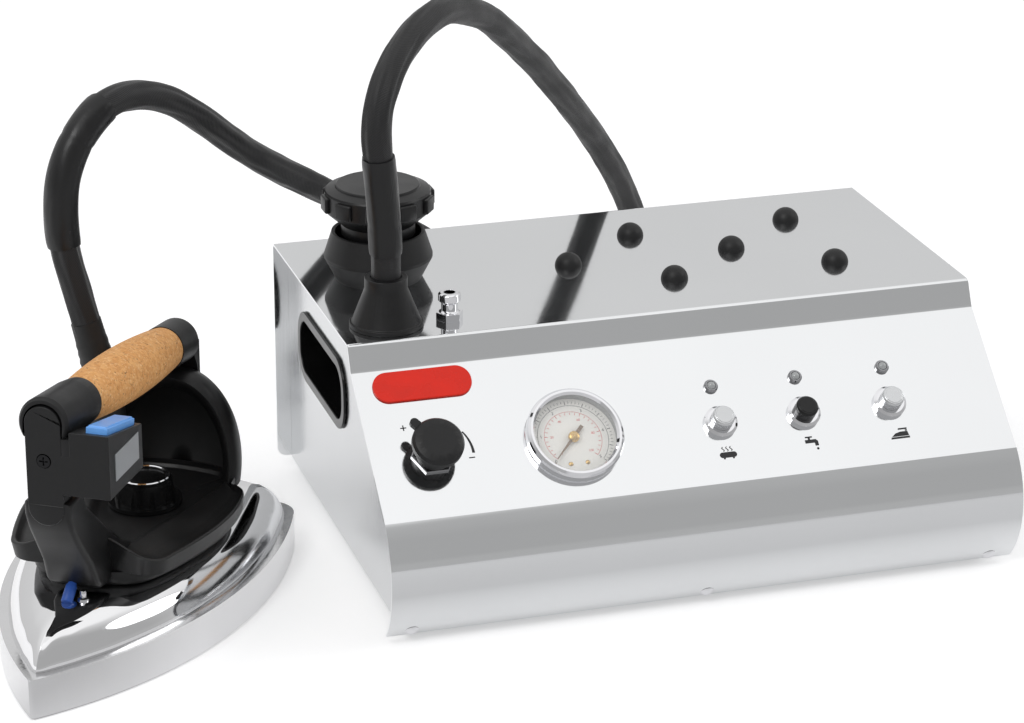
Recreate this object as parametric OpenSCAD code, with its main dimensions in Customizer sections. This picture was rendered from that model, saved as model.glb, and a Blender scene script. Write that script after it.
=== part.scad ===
// Steam ironing station: a stainless boiler unit with a cork-handled iron on a steam hose.
// Millimetres, +Z up. Origin: middle of the object's footprint, on the floor.
// base_at() places the boiler unit, iron_at() the iron, whose local X runs from nose to heel.

/* [Casing] */
// width of the bent stainless sheet
body_w = 350; // [300:1:420]
// depth from the rear sheet to the apron's lower edge
body_d = 236; // [215:1:290]
// height of the flat top above the floor
body_h = 138; // [120:1:170]
// thickness of the stainless sheet
sheet_t = 1.2; // [0.8:0.1:2]
// distance the side panels sit in from the sheet's edges
side_inset = 8.2; // [5:0.1:14]
// how far the apron bulges forward of its own edges
apron_bulge = 12.5; // [8:0.5:16]
// radius of the rubber feet
foot_r = 11; // [8:0.5:14]
// radius of the rubber rest domes on the top
dome_r = 7.5; // [5:0.5:10]

/* [Filler] */
// largest radius of the filler collar
collar_r = 29.6; // [27.5:0.1:34]
// radius of the filler cap's knurled head
cap_r = 31.8; // [29:0.1:36]
// number of grip lugs on the filler cap
cap_lugs = 24; // [12:1:36]

/* [Controls] */
// radius of the regulator knob
knob_r = 13.6; // [10:0.1:16]
// height of the regulator knob
knob_h = 18; // [14:0.5:24]
// radius of the pressure gauge's bezel
gauge_r = 26; // [22:0.5:29]
// radius of the push-button caps
button_r = 6; // [4.5:0.1:6.6]
// travel of the push-buttons
button_travel = 2.5; // [1:0.1:3]
// radius of the lamp bezels
lamp_r = 3.8; // [3:0.1:5]

/* [Iron] */
// length of the soleplate from nose to heel
sole_l = 238; // [210:1:270]
// half the greatest width of the soleplate
sole_half_w = 66.5; // [58:0.5:74]
// thickness of the cast soleplate
sole_t = 22; // [18:0.5:26]
// length of the cork grip
cork_l = 114; // [95:1:125]
// radius of the cork grip in its middle
cork_r = 14.5; // [13.5:0.1:17]
// height of the grip's front end above the floor
grip_h = 145.5; // [138:0.5:152]
// radius of the thermostat dial's flange
dial_r = 19.5; // [14:0.5:22]

/* [Hose] */
// radius of the braided steam hose
hose_r = 7.7; // [6:0.1:7.8]

/* [Hidden] */
$fn = 96;

// placing of the two units: the boiler unit by its rear plane, the iron by its nose
base_x = 96.6;
base_y = 130.8;
iron_x = -267.1;
iron_y = -139;
iron_turn = 57.3;
fit = 0.1;

// casing profile, looking along X: y is 0 at the rear sheet and negative to the front
kx = body_w / 350;
top_d = body_d - 70;
lip_run = 6.2;
lip_drop = 13.3;
panel_run = 65.3;
panel_drop = 57.6;
panel_tilt = atan2(panel_drop, panel_run);
panel_len = sqrt(panel_run * panel_run + panel_drop * panel_drop);
panel_y = -(top_d + lip_run);
panel_z = body_h - lip_drop;
apron_y = panel_y - panel_run;
apron_z = panel_z - panel_drop;
apron_foot_z = 4;
rear_foot_z = 8.4;
apron_chord = apron_z - apron_foot_z;
apron_r = (apron_chord * apron_chord / 4 + apron_bulge * apron_bulge) / (2 * apron_bulge);
apron_cy = apron_y - apron_bulge + apron_r;
apron_cz = apron_foot_z + apron_chord / 2;
apron_end_y = apron_cy - sqrt(apron_r * apron_r - apron_chord * apron_chord / 4);
side_x = body_w / 2 - side_inset;
tray_z = 5;
tray_t = 1.2;

// places of the fittings on the top, the panel and the apron
filler_x = -132 * kx;
filler_y = -69;
gland_x = -147.5 * kx;
gland_y = -(top_d - 24);
socket_x = -113.4 * kx;
socket_y = -(top_d - 22.5);
knob_x = -141.8 * kx;
knob_d = 51.4;
gauge_x = -65.8 * kx;
gauge_d = 50.8;
lamp_xs = [15.1 * kx, 62.8 * kx, 112.9 * kx];
lamp_d = 31;
switch_xs = [14.9 * kx, 61.9 * kx, 111 * kx];
switch_d = 52.5;
badge_x = -139 * kx;
badge_d = 10.9;
badge_w = 53;
badge_h = 17.5;
screw_xs = [-162 * kx, -1 * kx, 161 * kx];
apron_screw_a = atan2(apron_cz - 7.5, 36);
dome_xs = [-27.5 * kx, 21.5 * kx, 21.5 * kx, 68.4 * kx, 115.7 * kx, 115.7 * kx];
dome_ys = [-0.5 * top_d, -0.275 * top_d, -0.72 * top_d, -0.5 * top_d, -0.275 * top_d, -0.72 * top_d];
recess_y = -79.5;
recess_z = body_h - 47;
recess_l = 91;
recess_h = 30;
recess_deep = 17;
recess_rim = 3.5;

// heights of the filler parts above the casing top
neck_r = 12;
neck_bore = 9.4;
neck_top = body_h + 22;
cap_foot = body_h + 25;
cap_head = body_h + 39;
cap_top = body_h + 54.5;

// boiler
tank_r = (body_h - 38) / 2;
tank_z = 16 + tank_r;
tank_y = -80;
tank_x0 = -146 * kx;
tank_x1 = 100 * kx;
tank_t = 2;

// iron: sides of the outline are two arcs, the heel is straight with round corners
sole_mid = 165;
sole_r = (sole_mid * sole_mid + sole_half_w * sole_half_w) / (2 * sole_half_w);
heel_r = 16;
cover_z = sole_t;
cover_h = 19;
block_z = cover_z + cover_h;
shield_z = block_z + 6.5;
shield_t = 3;
grip_tilt = 7.5;
grip_s = 31;
cap_front_l = 46;
cap_rear_l = 27;
cap_front_r = 13;
box_z0 = 109;
box_z1 = 142.5;
box_s0 = 30.5;
box_s1 = 74;
box_y0 = -34;
box_y1 = -13.4;
box_tilt = 13;
dial_s = 158;
hose_in_s = 184;
hose_in_y = 29;

inlet_x = 120 * kx;
inlet_z = 34;
tray_x = side_x - sheet_t - fit;
foot_x = tray_x - 22;
foot_ys = [-28, -(body_d - 30)];
end_ports = [[-28, 20], [26, 22], [-26, -22]];
solenoid_x = tank_x1 + 38;
solenoid_y = -128;
lead_s = 66;
inlet_s = 206;
inlet_side = 26;
button_l = 36;
button_w = 11;

// route of the hose in the boiler unit's frame: x, y, z and the plan heading of the bend
HOSE_ROUTE = [
  [-147.5, -142, 156, 48], [-147.5, -142, 178.6, 48], [-149, -143.5, 204, 48],
  [-152.2, -147.2, 232, 48], [-153, -148, 249, 48], [-149, -144, 265, 48],
  [-138, -132, 279, 48], [-120, -112, 289, 48], [-98, -87, 290, 48],
  [-70, -57, 277, 48], [-41, -24, 251, 48], [-12, 8, 220, 48],
  [19, 42, 183, 48], [45, 71, 149, 48], [70, 98, 108, 48],
  [88, 118, 68, 48], [103, 138, 34, 52], [117, 163, 14, 65],
  [121, 194, 9, 90], [110, 225, 9, 120], [84, 248, 9, 150],
  [50, 250, 9, 180], [20, 232, 9, 208], [0, 203, 9, 222],
  [-14, 172, 10, 222], [-22, 140, 20, 219], [-31, 112, 45, 214],
  [-45, 83, 76, 211], [-66, 58, 106, 211], [-100, 37, 132, 211],
  [-139, 13, 160, 211], [-186, -15, 194, 211], [-226, -40, 230, 211],
  [-245, -52, 244, 211], [-262, -62, 250, 211], [-280, -73, 249, 211],
  [-296, -83, 236, 211], [-305, -88, 219, 211], [-308, -90, 200, 211],
  [-307, -90, 180, 211], [-303, -91, 160, 211], [-298, -93, 138, 211],
  [-293, -96, 114, 211], [-290, -98, 90, 211], [-289, -99, 72, 211]
];

function lerp(a, b, t) = a + (b - a) * t;
function clamp_i(i, n) = i < 0 ? 0 : (i > n - 1 ? n - 1 : i);
function point3(p) = [p[0], p[1], p[2]];
function unit(u) = u / norm(u);
function ring_at(centre, along, heading, r, sides) =
  let (side = [-sin(heading), cos(heading), 0])
  let (flat = unit(side - along * (side * along)))
  let (lift = cross(along, flat))
  [for (k = [0:sides - 1]) centre + r * (cos(360 * k / sides) * flat + sin(360 * k / sides) * lift)];
function route_rings(p, from, to, r0, r1, sides) =
  [for (i = [from:to])
    let (before = p[clamp_i(i - 1, len(p))], after = p[clamp_i(i + 1, len(p))])
    ring_at(point3(p[i]), unit(point3(after) - point3(before)), p[i][3],
      lerp(r0, r1, to == from ? 0 : (i - from) / (to - from)), sides)];
function flatten(l) = [for (a = l) for (b = a) b];
function tube_faces(rings, sides) = concat(
  [[for (k = [0:sides - 1]) k]],
  [for (i = [0:rings - 2]) for (k = [0:sides - 1])
    [i * sides + k, (i + 1) * sides + k, (i + 1) * sides + (k + 1) % sides, i * sides + (k + 1) % sides]],
  [[for (k = [0:sides - 1]) rings * sides - 1 - k]]);

module sweep(p, from, to, r0, r1, sides = 12) {
  rings = route_rings(p, from, to, r0, r1, sides);
  polyhedron(points = flatten(rings), faces = tube_faces(len(rings), sides), convexity = 8);
}

module base_at() {
  translate([base_x, base_y, 0]) children();
}

module iron_at() {
  translate([iron_x, iron_y, 0]) rotate([0, 0, iron_turn]) children();
}

// local Z leaves the control panel at right angles, local Y runs up the panel
module on_panel(x, d) {
  translate([x, panel_y, panel_z]) rotate([panel_tilt, 0, 0]) translate([0, -d, 0]) children();
}

// local Z leaves the curved apron at its screws
module on_apron(x) {
  translate([x, apron_cy, apron_cz]) rotate([90 + apron_screw_a, 0, 0]) translate([0, 0, apron_r]) children();
}

// local X runs along the grip from its front end to its rear end
module on_grip() {
  iron_at() translate([grip_s, 0, grip_h]) rotate([0, grip_tilt, 0]) children();
}

// 2D profile in (y, z), turned to run along X
module along_x(w) {
  rotate([90, 0, 90]) translate([0, 0, -w / 2]) linear_extrude(w) children();
}

// rounded rectangle
module slot_2d(l, h, r) {
  for (sx = [-1, 1]) for (sy = [-1, 1])
    translate([sx * (l / 2 - r), sy * (h / 2 - r)]) circle(r);
  square([l - 2 * r, h], center = true);
  square([l, h - 2 * r], center = true);
}

// casing profile in (y, z): corners of the outer face, and the same drawn in by t
CASING = [
  [0, rear_foot_z], [0, body_h], [-top_d, body_h], [panel_y, panel_z], [apron_y, apron_z]
];
arc_c = [apron_cy, apron_cz];
arc_a = atan2(apron_z - apron_cz, apron_y - apron_cy);

function left_of(a, b) = let (d = unit(b - a)) [-d[1], d[0]];
function drawn_in(p, i, t) =
  let (n1 = left_of(p[i - 1], p[i]), n2 = left_of(p[i], p[i + 1]))
  p[i] + t * (n1 + n2) / (1 + n1 * n2);
function on_arc(r, a) = arc_c + r * [cos(a), sin(a)];
function apron_in_y(z, t) = apron_cy - sqrt((apron_r - t) * (apron_r - t) - (apron_cz - z) * (apron_cz - z));

// disc of radius r about the apron's centre, cut to the angle that the apron covers
module apron_sector(r) {
  far = 3 * apron_r;
  intersection() {
    translate(arc_c) circle(r);
    polygon([arc_c, on_arc(far, arc_a), arc_c - [far, 0], on_arc(far, 360 - arc_a)]);
  }
}

module casing_2d() {
  foot = on_arc(apron_r - sheet_t, 360 - arc_a);
  difference() {
    union() {
      polygon(concat(CASING, [arc_c - [5, 0], on_arc(apron_r, 360 - arc_a)]));
      apron_sector(apron_r);
    }
    inner_2d(sheet_t, -40);
    translate([foot[0], -50]) square([-sheet_t - foot[0], 50 + apron_cz]);
  }
}

// filled profile inside the sheet, from height z0 upwards
module inner_2d(t, z0) {
  difference() {
    union() {
      polygon(concat(
        [for (i = [1:3]) drawn_in(CASING, i, t)],
        [on_arc(apron_r - t, arc_a), arc_c - [5, 0], on_arc(apron_r - t, 360 - arc_a), [-t, apron_foot_z]]
      ));
      apron_sector(apron_r - t);
    }
    translate([-2 * body_d, -50]) square([3 * body_d, 50 + z0]);
  }
}

module hex(r, h) {
  cylinder(h = h, r = r, $fn = 6);
}

// straight pipes with ball corners through a short list of points
module pipe(points, r) {
  for (i = [0:len(points) - 2]) {
    d = points[i + 1] - points[i];
    translate(points[i]) rotate([0, acos(d[2] / norm(d)), atan2(d[1], d[0])]) cylinder(h = norm(d), r = r);
  }
  if (len(points) > 2) for (i = [1:len(points) - 2]) translate(points[i]) sphere(r * 1.08);
}

// ---- boiler unit: casing ----

module casing_wrap() {
  color([0.78, 0.79, 0.8]) base_at() difference() {
    along_x(body_w) casing_2d();
    translate([filler_x, filler_y, body_h - 5]) cylinder(h = 10, r = neck_r + 1);
    translate([gland_x, gland_y, body_h - 5]) cylinder(h = 10, r = 10);
    translate([socket_x, socket_y, body_h - 5]) cylinder(h = 10, r = 5);
    for (i = [0:5]) translate([dome_xs[i], dome_ys[i], body_h - 5]) cylinder(h = 10, r = 2.1);
    on_panel(knob_x, knob_d) translate([0, 0, -5]) cylinder(h = 10, r = 5);
    on_panel(gauge_x, gauge_d) translate([0, 0, -5]) cylinder(h = 10, r = gauge_r - 1.8);
    for (x = switch_xs) on_panel(x, switch_d) translate([0, 0, -5]) cylinder(h = 10, r = button_r + 1);
    for (x = lamp_xs) on_panel(x, lamp_d) translate([0, 0, -5]) cylinder(h = 10, r = lamp_r - 0.7);
    for (x = screw_xs) on_apron(x) translate([0, 0, -5]) cylinder(h = 10, r = 1.6);
    for (x = screw_xs) translate([x, 5, 14]) rotate([90, 0, 0]) cylinder(h = 10, r = 1.6);
    translate([inlet_x, 5, inlet_z]) rotate([90, 0, 0]) cylinder(h = 10, r = 8.2);
    // round lower corners of the rear sheet
    for (s = [-1, 1]) difference() {
      translate([s * (body_w / 2 - 2), 0, rear_foot_z + 2]) cube([8, 6, 8], center = true);
      translate([s * (body_w / 2 - 6), 7, rear_foot_z + 6]) rotate([90, 0, 0]) cylinder(h = 14, r = 6.3);
    }
  }
}

// right-hand panel, outer face at side_x, with a bent strip under the top
module side_panel() {
  difference() {
    union() {
      translate([side_x - sheet_t / 2, 0, 0]) along_x(sheet_t) inner_2d(sheet_t + fit, 7);
      translate([side_x - 11, -(top_d - 44), body_h - 2 * sheet_t - fit]) cube([11, top_d - 56, sheet_t]);
    }
    translate([side_x, recess_y, recess_z]) rotate([90, 0, 90]) translate([0, 0, -5])
      linear_extrude(10) slot_2d(recess_l + 4.4, recess_h + 4.4, 14.2);
  }
}

module side_panel_left() {
  color([0.72, 0.73, 0.74]) base_at() mirror([1, 0, 0]) side_panel();
}

module side_panel_right() {
  color([0.72, 0.73, 0.74]) base_at() side_panel();
}

module base_tray() {
  front_y = apron_in_y(tray_z, sheet_t) + 0.8;
  back_y = -sheet_t - fit;
  color([0.6, 0.61, 0.62]) base_at() difference() {
    union() {
      translate([-tray_x, front_y, tray_z]) cube([2 * tray_x, back_y - front_y, tray_t]);
      translate([-tray_x, back_y - tray_t, tray_z]) cube([2 * tray_x, tray_t, 20]);
      for (s = [-1, 1]) translate([s * (tray_x - tray_t / 2) - tray_t / 2, front_y + 12, tray_z])
        cube([tray_t, back_y - front_y - 12, 16]);
      on_apron(0) translate([-tray_x, -4, -sheet_t - 0.35 - tray_t]) cube([2 * tray_x, 9, tray_t]);
    }
    for (x = screw_xs) on_apron(x) translate([0, 0, -9]) cylinder(h = 10, r = 1.6);
    for (x = screw_xs) translate([x, 5, 14]) rotate([90, 0, 0]) cylinder(h = 14, r = 1.6);
    translate([inlet_x, 5, inlet_z]) rotate([90, 0, 0]) cylinder(h = 14, r = 8.2);
    for (sx = [-1, 1]) for (y = foot_ys) translate([sx * foot_x, y, 0]) cylinder(h = 20, r = 2.6);
    for (i = [0:9]) translate([(i * 20 - 90) * kx, -22, 0]) cylinder(h = 20, r = 3);
  }
}

// black pocket for the fingers, right-hand side
module side_recess() {
  translate([side_x, recess_y, recess_z]) rotate([90, 0, 90]) difference() {
    union() {
      translate([0, 0, 0.05]) linear_extrude(1.6)
        slot_2d(recess_l + 4 + 2 * recess_rim, recess_h + 4 + 2 * recess_rim, 14 + recess_rim);
      translate([0, 0, -recess_deep - 2]) linear_extrude(recess_deep + 3) slot_2d(recess_l + 4, recess_h + 4, 14);
    }
    translate([0, 0, -recess_deep]) linear_extrude(recess_deep + 5) slot_2d(recess_l, recess_h, 12);
  }
}

module side_recess_left() {
  color([0.06, 0.06, 0.065]) base_at() mirror([1, 0, 0]) side_recess();
}

module side_recess_right() {
  color([0.06, 0.06, 0.065]) base_at() side_recess();
}

module rubber_feet() {
  color([0.07, 0.07, 0.07]) base_at() for (sx = [-1, 1]) for (y = foot_ys) translate([sx * foot_x, y, 0]) {
    cylinder(h = tray_z, r1 = foot_r - 1, r2 = foot_r);
    cylinder(h = tray_z + tray_t + 3, r = 2.5);
  }
}

// low round head with a short shank, seated on Z = 0
module dome_screw(r, shank) {
  intersection() {
    translate([0, 0, -3.2]) sphere(5);
    cylinder(h = 3, r = 4);
  }
  translate([0, 0, -shank]) cylinder(h = shank + 1, r = r);
}

module apron_screws() {
  color([0.75, 0.75, 0.76]) base_at() for (x = screw_xs) on_apron(x) dome_screw(1.5, 6);
}

module rear_screws() {
  color([0.75, 0.75, 0.76]) base_at() for (x = screw_xs) translate([x, 0, 14]) rotate([-90, 0, 0]) dome_screw(1.5, 6);
}

module rest_domes() {
  color([0.05, 0.05, 0.05]) base_at() for (i = [0:5]) translate([dome_xs[i], dome_ys[i], body_h]) {
    intersection() {
      sphere(dome_r);
      cylinder(h = dome_r, r = dome_r + 1);
    }
    translate([0, 0, -4]) cylinder(h = 5, r = 2);
  }
}

module badge_plate() {
  color([0.75, 0.08, 0.07]) base_at() on_panel(badge_x, badge_d)
    linear_extrude(1.4) slot_2d(badge_w, badge_h, badge_h / 2 - 0.5);
}

// ---- boiler unit: filler ----

module filler_collar() {
  color([0.07, 0.07, 0.075]) base_at() translate([filler_x, filler_y, body_h]) rotate_extrude()
    polygon([
      [neck_r + 1.5, 0], [collar_r - 6, 0], [collar_r - 5.4, 1.5], [collar_r, 12], [collar_r, 13.6],
      [collar_r - 4.2, 26.6], [collar_r - 5.2, 27], [collar_r - 6, 26.4], [collar_r - 5.2, 14],
      [collar_r - 9.5, 3], [neck_r + 1.5, 3]
    ]);
}

module filler_plug() {
  color([0.78, 0.62, 0.3]) base_at() translate([filler_x, filler_y, 0]) {
    translate([0, 0, body_h + 6]) cylinder(h = 19, r = neck_bore - 0.4);
    translate([0, 0, neck_top + 2]) cylinder(h = 3.9, r = 12.6);
    translate([0, 0, neck_top + 5]) cylinder(h = 17, r = 6);
  }
}

module filler_gasket() {
  color([0.1, 0.1, 0.1]) base_at() translate([filler_x, filler_y, neck_top]) difference() {
    cylinder(h = 2, r = 12.3);
    translate([0, 0, -1]) cylinder(h = 4, r = neck_bore);
  }
}

module filler_cap() {
  skirt_r = collar_r - 9.6;
  head_r = cap_r - 1.6;
  color([0.08, 0.08, 0.085]) base_at() translate([filler_x, filler_y, 0]) difference() {
    union() {
      translate([0, 0, cap_foot]) cylinder(h = cap_head - cap_foot - 6, r = skirt_r);
      translate([0, 0, cap_head - 6]) cylinder(h = 6, r1 = skirt_r, r2 = head_r);
      translate([0, 0, cap_head]) cylinder(h = 11, r = head_r);
      translate([0, 0, cap_head + 11]) cylinder(h = 2.5, r1 = head_r, r2 = cap_r - 6);
      translate([0, 0, cap_head + 13.5]) cylinder(h = cap_top - cap_head - 13.5, r = cap_r - 12);
      for (i = [0:cap_lugs - 1]) rotate([0, 0, 360 * i / cap_lugs])
        translate([cap_r - 2.2, 0, cap_head + 0.6]) cylinder(h = 10, r = 2.2);
    }
    translate([0, 0, cap_foot - 1]) cylinder(h = neck_top + 6.2 - cap_foot + 1, r = 15.2);
    translate([0, 0, cap_foot - 1]) cylinder(h = neck_top + 22.2 - cap_foot + 1, r = 6.06);
  }
}

// ---- boiler unit: hose gland and holder socket ----

module hose_gland() {
  color([0.06, 0.06, 0.065]) base_at() translate([gland_x, gland_y, body_h]) {
    difference() {
      union() {
        cylinder(h = 2.4, r = 19.6);
        translate([0, 0, 2.4]) cylinder(h = 18, r1 = 18.4, r2 = 11.4);
        translate([0, 0, 20.4]) cylinder(h = 6.4, r = 11.4);
        translate([0, 0, -14]) cylinder(h = 15, r = 9.6);
      }
      translate([0, 0, -11]) cylinder(h = 50, r = 8.1);
      translate([0, 0, -15]) cylinder(h = 8, r = 3.1);
    }
    translate([0, 0, -sheet_t - 5]) difference() {
      hex(15, 5);
      translate([0, 0, -1]) cylinder(h = 7, r = 9.6);
    }
  }
}

module holder_socket() {
  color([0.82, 0.83, 0.85]) base_at() translate([socket_x, socket_y, body_h]) difference() {
    union() {
      hex(7.4, 4.2);
      translate([0, 0, 4.2]) cylinder(h = 1, r1 = 5.6, r2 = 4.4);
      translate([0, 0, 5]) cylinder(h = 4, r = 4.4);
      translate([0, 0, 9]) cylinder(h = 1.6, r1 = 4.4, r2 = 6);
      translate([0, 0, 10.6]) cylinder(h = 3.4, r = 6);
      translate([0, 0, 14]) cylinder(h = 1, r1 = 6, r2 = 5);
      translate([0, 0, -9]) cylinder(h = 10, r = 4.8);
    }
    translate([0, 0, -1]) cylinder(h = 20, r = 3.1);
  }
}

// ---- boiler unit: control panel ----

module regulator_valve() {
  color([0.78, 0.62, 0.3]) base_at() on_panel(knob_x, knob_d) difference() {
    union() {
      translate([0, 0, -sheet_t - 22 - fit]) cylinder(h = 22, r = 9);
      translate([-16, 0, -sheet_t - 17]) rotate([0, 90, 0]) cylinder(h = 32, r = 5);
      translate([0, 0, -sheet_t - 6 - fit]) hex(12.5, 6);
    }
    translate([0, 0, -sheet_t - 15]) cylinder(h = 30, r = 3.06);
  }
}

module regulator_knob() {
  grip_z = knob_h * 0.5;
  waist_r = knob_r - 3.4;
  color([0.05, 0.05, 0.055]) base_at() on_panel(knob_x, knob_d) {
    translate([0, 0, -sheet_t - 13]) cylinder(h = 16.5, r = 3);
    translate([0, 0, 0.6]) cylinder(h = 2, r1 = waist_r - 0.6, r2 = waist_r);
    translate([0, 0, 2.6]) cylinder(h = grip_z - 2.6, r = waist_r);
    translate([0, 0, grip_z]) cylinder(h = 3, r1 = waist_r, r2 = knob_r);
    translate([0, 0, grip_z + 3]) cylinder(h = grip_z - 6, r = knob_r);
    translate([0, 0, knob_h - 3]) cylinder(h = 1.6, r1 = knob_r, r2 = knob_r - 1.2);
    translate([0, 0, knob_h - 1.4]) cylinder(h = 1.4, r1 = knob_r - 1.2, r2 = knob_r - 5);
    rotate([0, 0, 128]) translate([knob_r - 2, 0, grip_z + 3.2]) {
      translate([0, -2.4, 0]) cube([4.4, 4.8, grip_z - 6.4]);
      translate([4.4, 0, 0]) cylinder(h = grip_z - 6.4, r = 2.4);
    }
  }
}

module gauge_case() {
  color([0.3, 0.3, 0.32]) base_at() on_panel(gauge_x, gauge_d) difference() {
    union() {
      translate([0, 0, -28]) cylinder(h = 33.8, r = gauge_r - 2);
      translate([0, 0, -38]) cylinder(h = 11, r = 5);
    }
    translate([0, 0, -2]) cylinder(h = 10, r = gauge_r - 2.8);
    translate([0, 0, -8]) cylinder(h = 10, r = 0.8);
  }
}

module gauge_bezel() {
  color([0.85, 0.84, 0.8]) base_at() on_panel(gauge_x, gauge_d) rotate_extrude()
    polygon([
      [gauge_r - 1.9, 0.05], [gauge_r - 0.6, 0.05], [gauge_r, 0.8], [gauge_r, 4.8], [gauge_r - 0.6, 6.2],
      [gauge_r - 1.8, 7.2], [gauge_r - 3, 7.2], [gauge_r - 4.2, 5.9], [gauge_r - 1.9, 5.9]
    ]);
}

module gauge_dial() {
  color([0.95, 0.95, 0.93]) base_at() on_panel(gauge_x, gauge_d) translate([0, 0, -2]) difference() {
    cylinder(h = 0.8, r = gauge_r - 2.9);
    translate([0, 0, -1]) cylinder(h = 3, r = 1.4);
  }
}

module gauge_needle() {
  tip = gauge_r * 0.62;
  color([0.08, 0.08, 0.08]) base_at() on_panel(gauge_x, gauge_d) {
    translate([0, 0, -7]) cylinder(h = 8, r = 0.75);
    cylinder(h = 1.8, r = 2.3);
    rotate([0, 0, 225]) translate([0, 0, 0.4]) linear_extrude(0.7)
      polygon([[-8, -1], [-8, 1], [0, 0.9], [tip, 0.25], [tip, -0.25], [0, -0.9]]);
  }
}

module gauge_glass() {
  color([0.9, 0.95, 0.97, 0.3]) base_at() on_panel(gauge_x, gauge_d) translate([0, 0, 4.2])
    cylinder(h = 1.6, r = gauge_r - 2.9);
}

module switch_bodies() {
  color([0.8, 0.8, 0.82]) base_at() for (x = switch_xs) on_panel(x, switch_d) difference() {
    union() {
      cylinder(h = 2.2, r = button_r + 3);
      translate([0, 0, 2.2]) cylinder(h = 1, r1 = button_r + 3, r2 = button_r + 1.6);
      translate([0, 0, -26]) cylinder(h = 27, r = button_r + 0.9);
      for (s = [-1, 1]) translate([s * 3 - 0.4, -1.6, -32]) cube([0.8, 3.2, 7]);
    }
    translate([0, 0, -9]) cylinder(h = 20, r = button_r + 0.06);
  }
}

module button_at(x) {
  base_at() on_panel(x, switch_d) {
    translate([0, 0, -4]) cylinder(h = 12.4, r = button_r);
    translate([0, 0, 8.4]) cylinder(h = 0.9, r1 = button_r, r2 = button_r - 0.9);
    translate([0, 0, 9.3]) cylinder(h = 0.3, r = button_r - 1.6);
  }
}

module boiler_button() {
  color([0.82, 0.83, 0.85]) button_at(switch_xs[0]);
}

module water_button() {
  color([0.05, 0.05, 0.05]) button_at(switch_xs[1]);
}

module iron_button() {
  color([0.82, 0.83, 0.85]) button_at(switch_xs[2]);
}

module lamp_bezels() {
  color([0.82, 0.83, 0.85]) base_at() for (x = lamp_xs) on_panel(x, lamp_d) difference() {
    union() {
      cylinder(h = 1.2, r = lamp_r);
      translate([0, 0, 1.2]) cylinder(h = 0.8, r1 = lamp_r, r2 = lamp_r - 0.8);
      translate([0, 0, -12]) cylinder(h = 13, r = lamp_r - 0.8);
    }
    translate([0, 0, -3]) cylinder(h = 10, r = lamp_r - 1.3);
  }
}

module lamp_lenses() {
  color([0.6, 0.62, 0.62]) base_at() for (x = lamp_xs) on_panel(x, lamp_d) {
    translate([0, 0, -3]) cylinder(h = 4, r = lamp_r - 1.35);
    translate([0, 0, 1]) intersection() {
      sphere(lamp_r - 1.35);
      cylinder(h = 5, r = 5);
    }
  }
}

// ---- boiler unit: inside ----

// domed drum along X, outer radius r between x0 and x1
module drum(x0, x1, r) {
  cap_l = r * 0.25;
  cap_ball = (r * r + cap_l * cap_l) / (2 * cap_l);
  translate([x0 + cap_l, 0, 0]) rotate([0, 90, 0]) cylinder(h = x1 - x0 - 2 * cap_l, r = r);
  for (side = [0, 1]) translate([side == 0 ? x0 + cap_l : x1 - cap_l, 0, 0]) mirror([side, 0, 0])
    intersection() {
      translate([cap_ball - cap_l, 0, 0]) sphere(cap_ball);
      translate([-cap_l, 0, 0]) rotate([0, 90, 0]) cylinder(h = cap_l + 0.5, r = r);
    }
}

module boiler_tank() {
  color([0.7, 0.71, 0.72]) base_at() difference() {
    union() {
      translate([0, tank_y, tank_z]) drum(tank_x0, tank_x1, tank_r);
      translate([filler_x, filler_y, tank_z]) cylinder(h = neck_top - tank_z, r = neck_r);
      translate([tank_x1 - 13, tank_y, tank_z]) rotate([0, 90, 0]) cylinder(h = 16, r = 24);
      for (p = end_ports) translate([tank_x1 - 18, tank_y + p[0], tank_z + p[1]]) rotate([0, 90, 0])
        cylinder(h = 20, r = 6);
    }
    translate([0, tank_y, tank_z]) drum(tank_x0 + tank_t, tank_x1 - tank_t, tank_r - tank_t);
    translate([filler_x, filler_y, tank_z + 10]) cylinder(h = body_h, r = neck_bore);
    translate([tank_x1 - 30, tank_y, tank_z]) rotate([0, 90, 0]) cylinder(h = 60, r = 18);
    for (p = end_ports) translate([tank_x1 - 30, tank_y + p[0], tank_z + p[1]]) rotate([0, 90, 0])
      cylinder(h = 60, r = 4);
  }
}

module heating_element() {
  color([0.75, 0.72, 0.68]) base_at() translate([tank_x1 + 3, tank_y, tank_z]) {
    rotate([0, 90, 0]) hex(22, 8);
    rotate([0, 90, 0]) translate([0, 0, 7]) cylinder(h = 6, r = 12);
    translate([-12, 0, 0]) rotate([0, 90, 0]) cylinder(h = 13, r = 17.9);
    for (y = [-9, 9]) translate([-150 * kx, y, -6]) rotate([0, 90, 0]) cylinder(h = 150 * kx - 8, r = 4);
    translate([-150 * kx, -9, -6]) rotate([-90, 0, 0]) cylinder(h = 18, r = 4);
    for (y = [-9, 9]) translate([-150 * kx, y, -6]) sphere(4.3);
    for (y = [-6, 6]) translate([12, y, 0]) rotate([0, 90, 0]) cylinder(h = 8, r = 1.6);
  }
}

module boiler_brackets() {
  color([0.6, 0.61, 0.62]) base_at() for (x = [-92 * kx, 52 * kx]) difference() {
    translate([x - 12, tank_y - tank_r * 0.8, tray_z + tray_t])
      cube([24, tank_r * 1.6, tank_z - tank_r * 0.35 - tray_z - tray_t]);
    translate([x - 20, tank_y, tank_z]) rotate([0, 90, 0]) cylinder(h = 40, r = tank_r + 0.05);
    translate([x - 10, tank_y - tank_r * 0.8 - 1, tray_z + tray_t + 2]) cube([20, tank_r * 1.6 + 2, tank_r]);
  }
}

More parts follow.
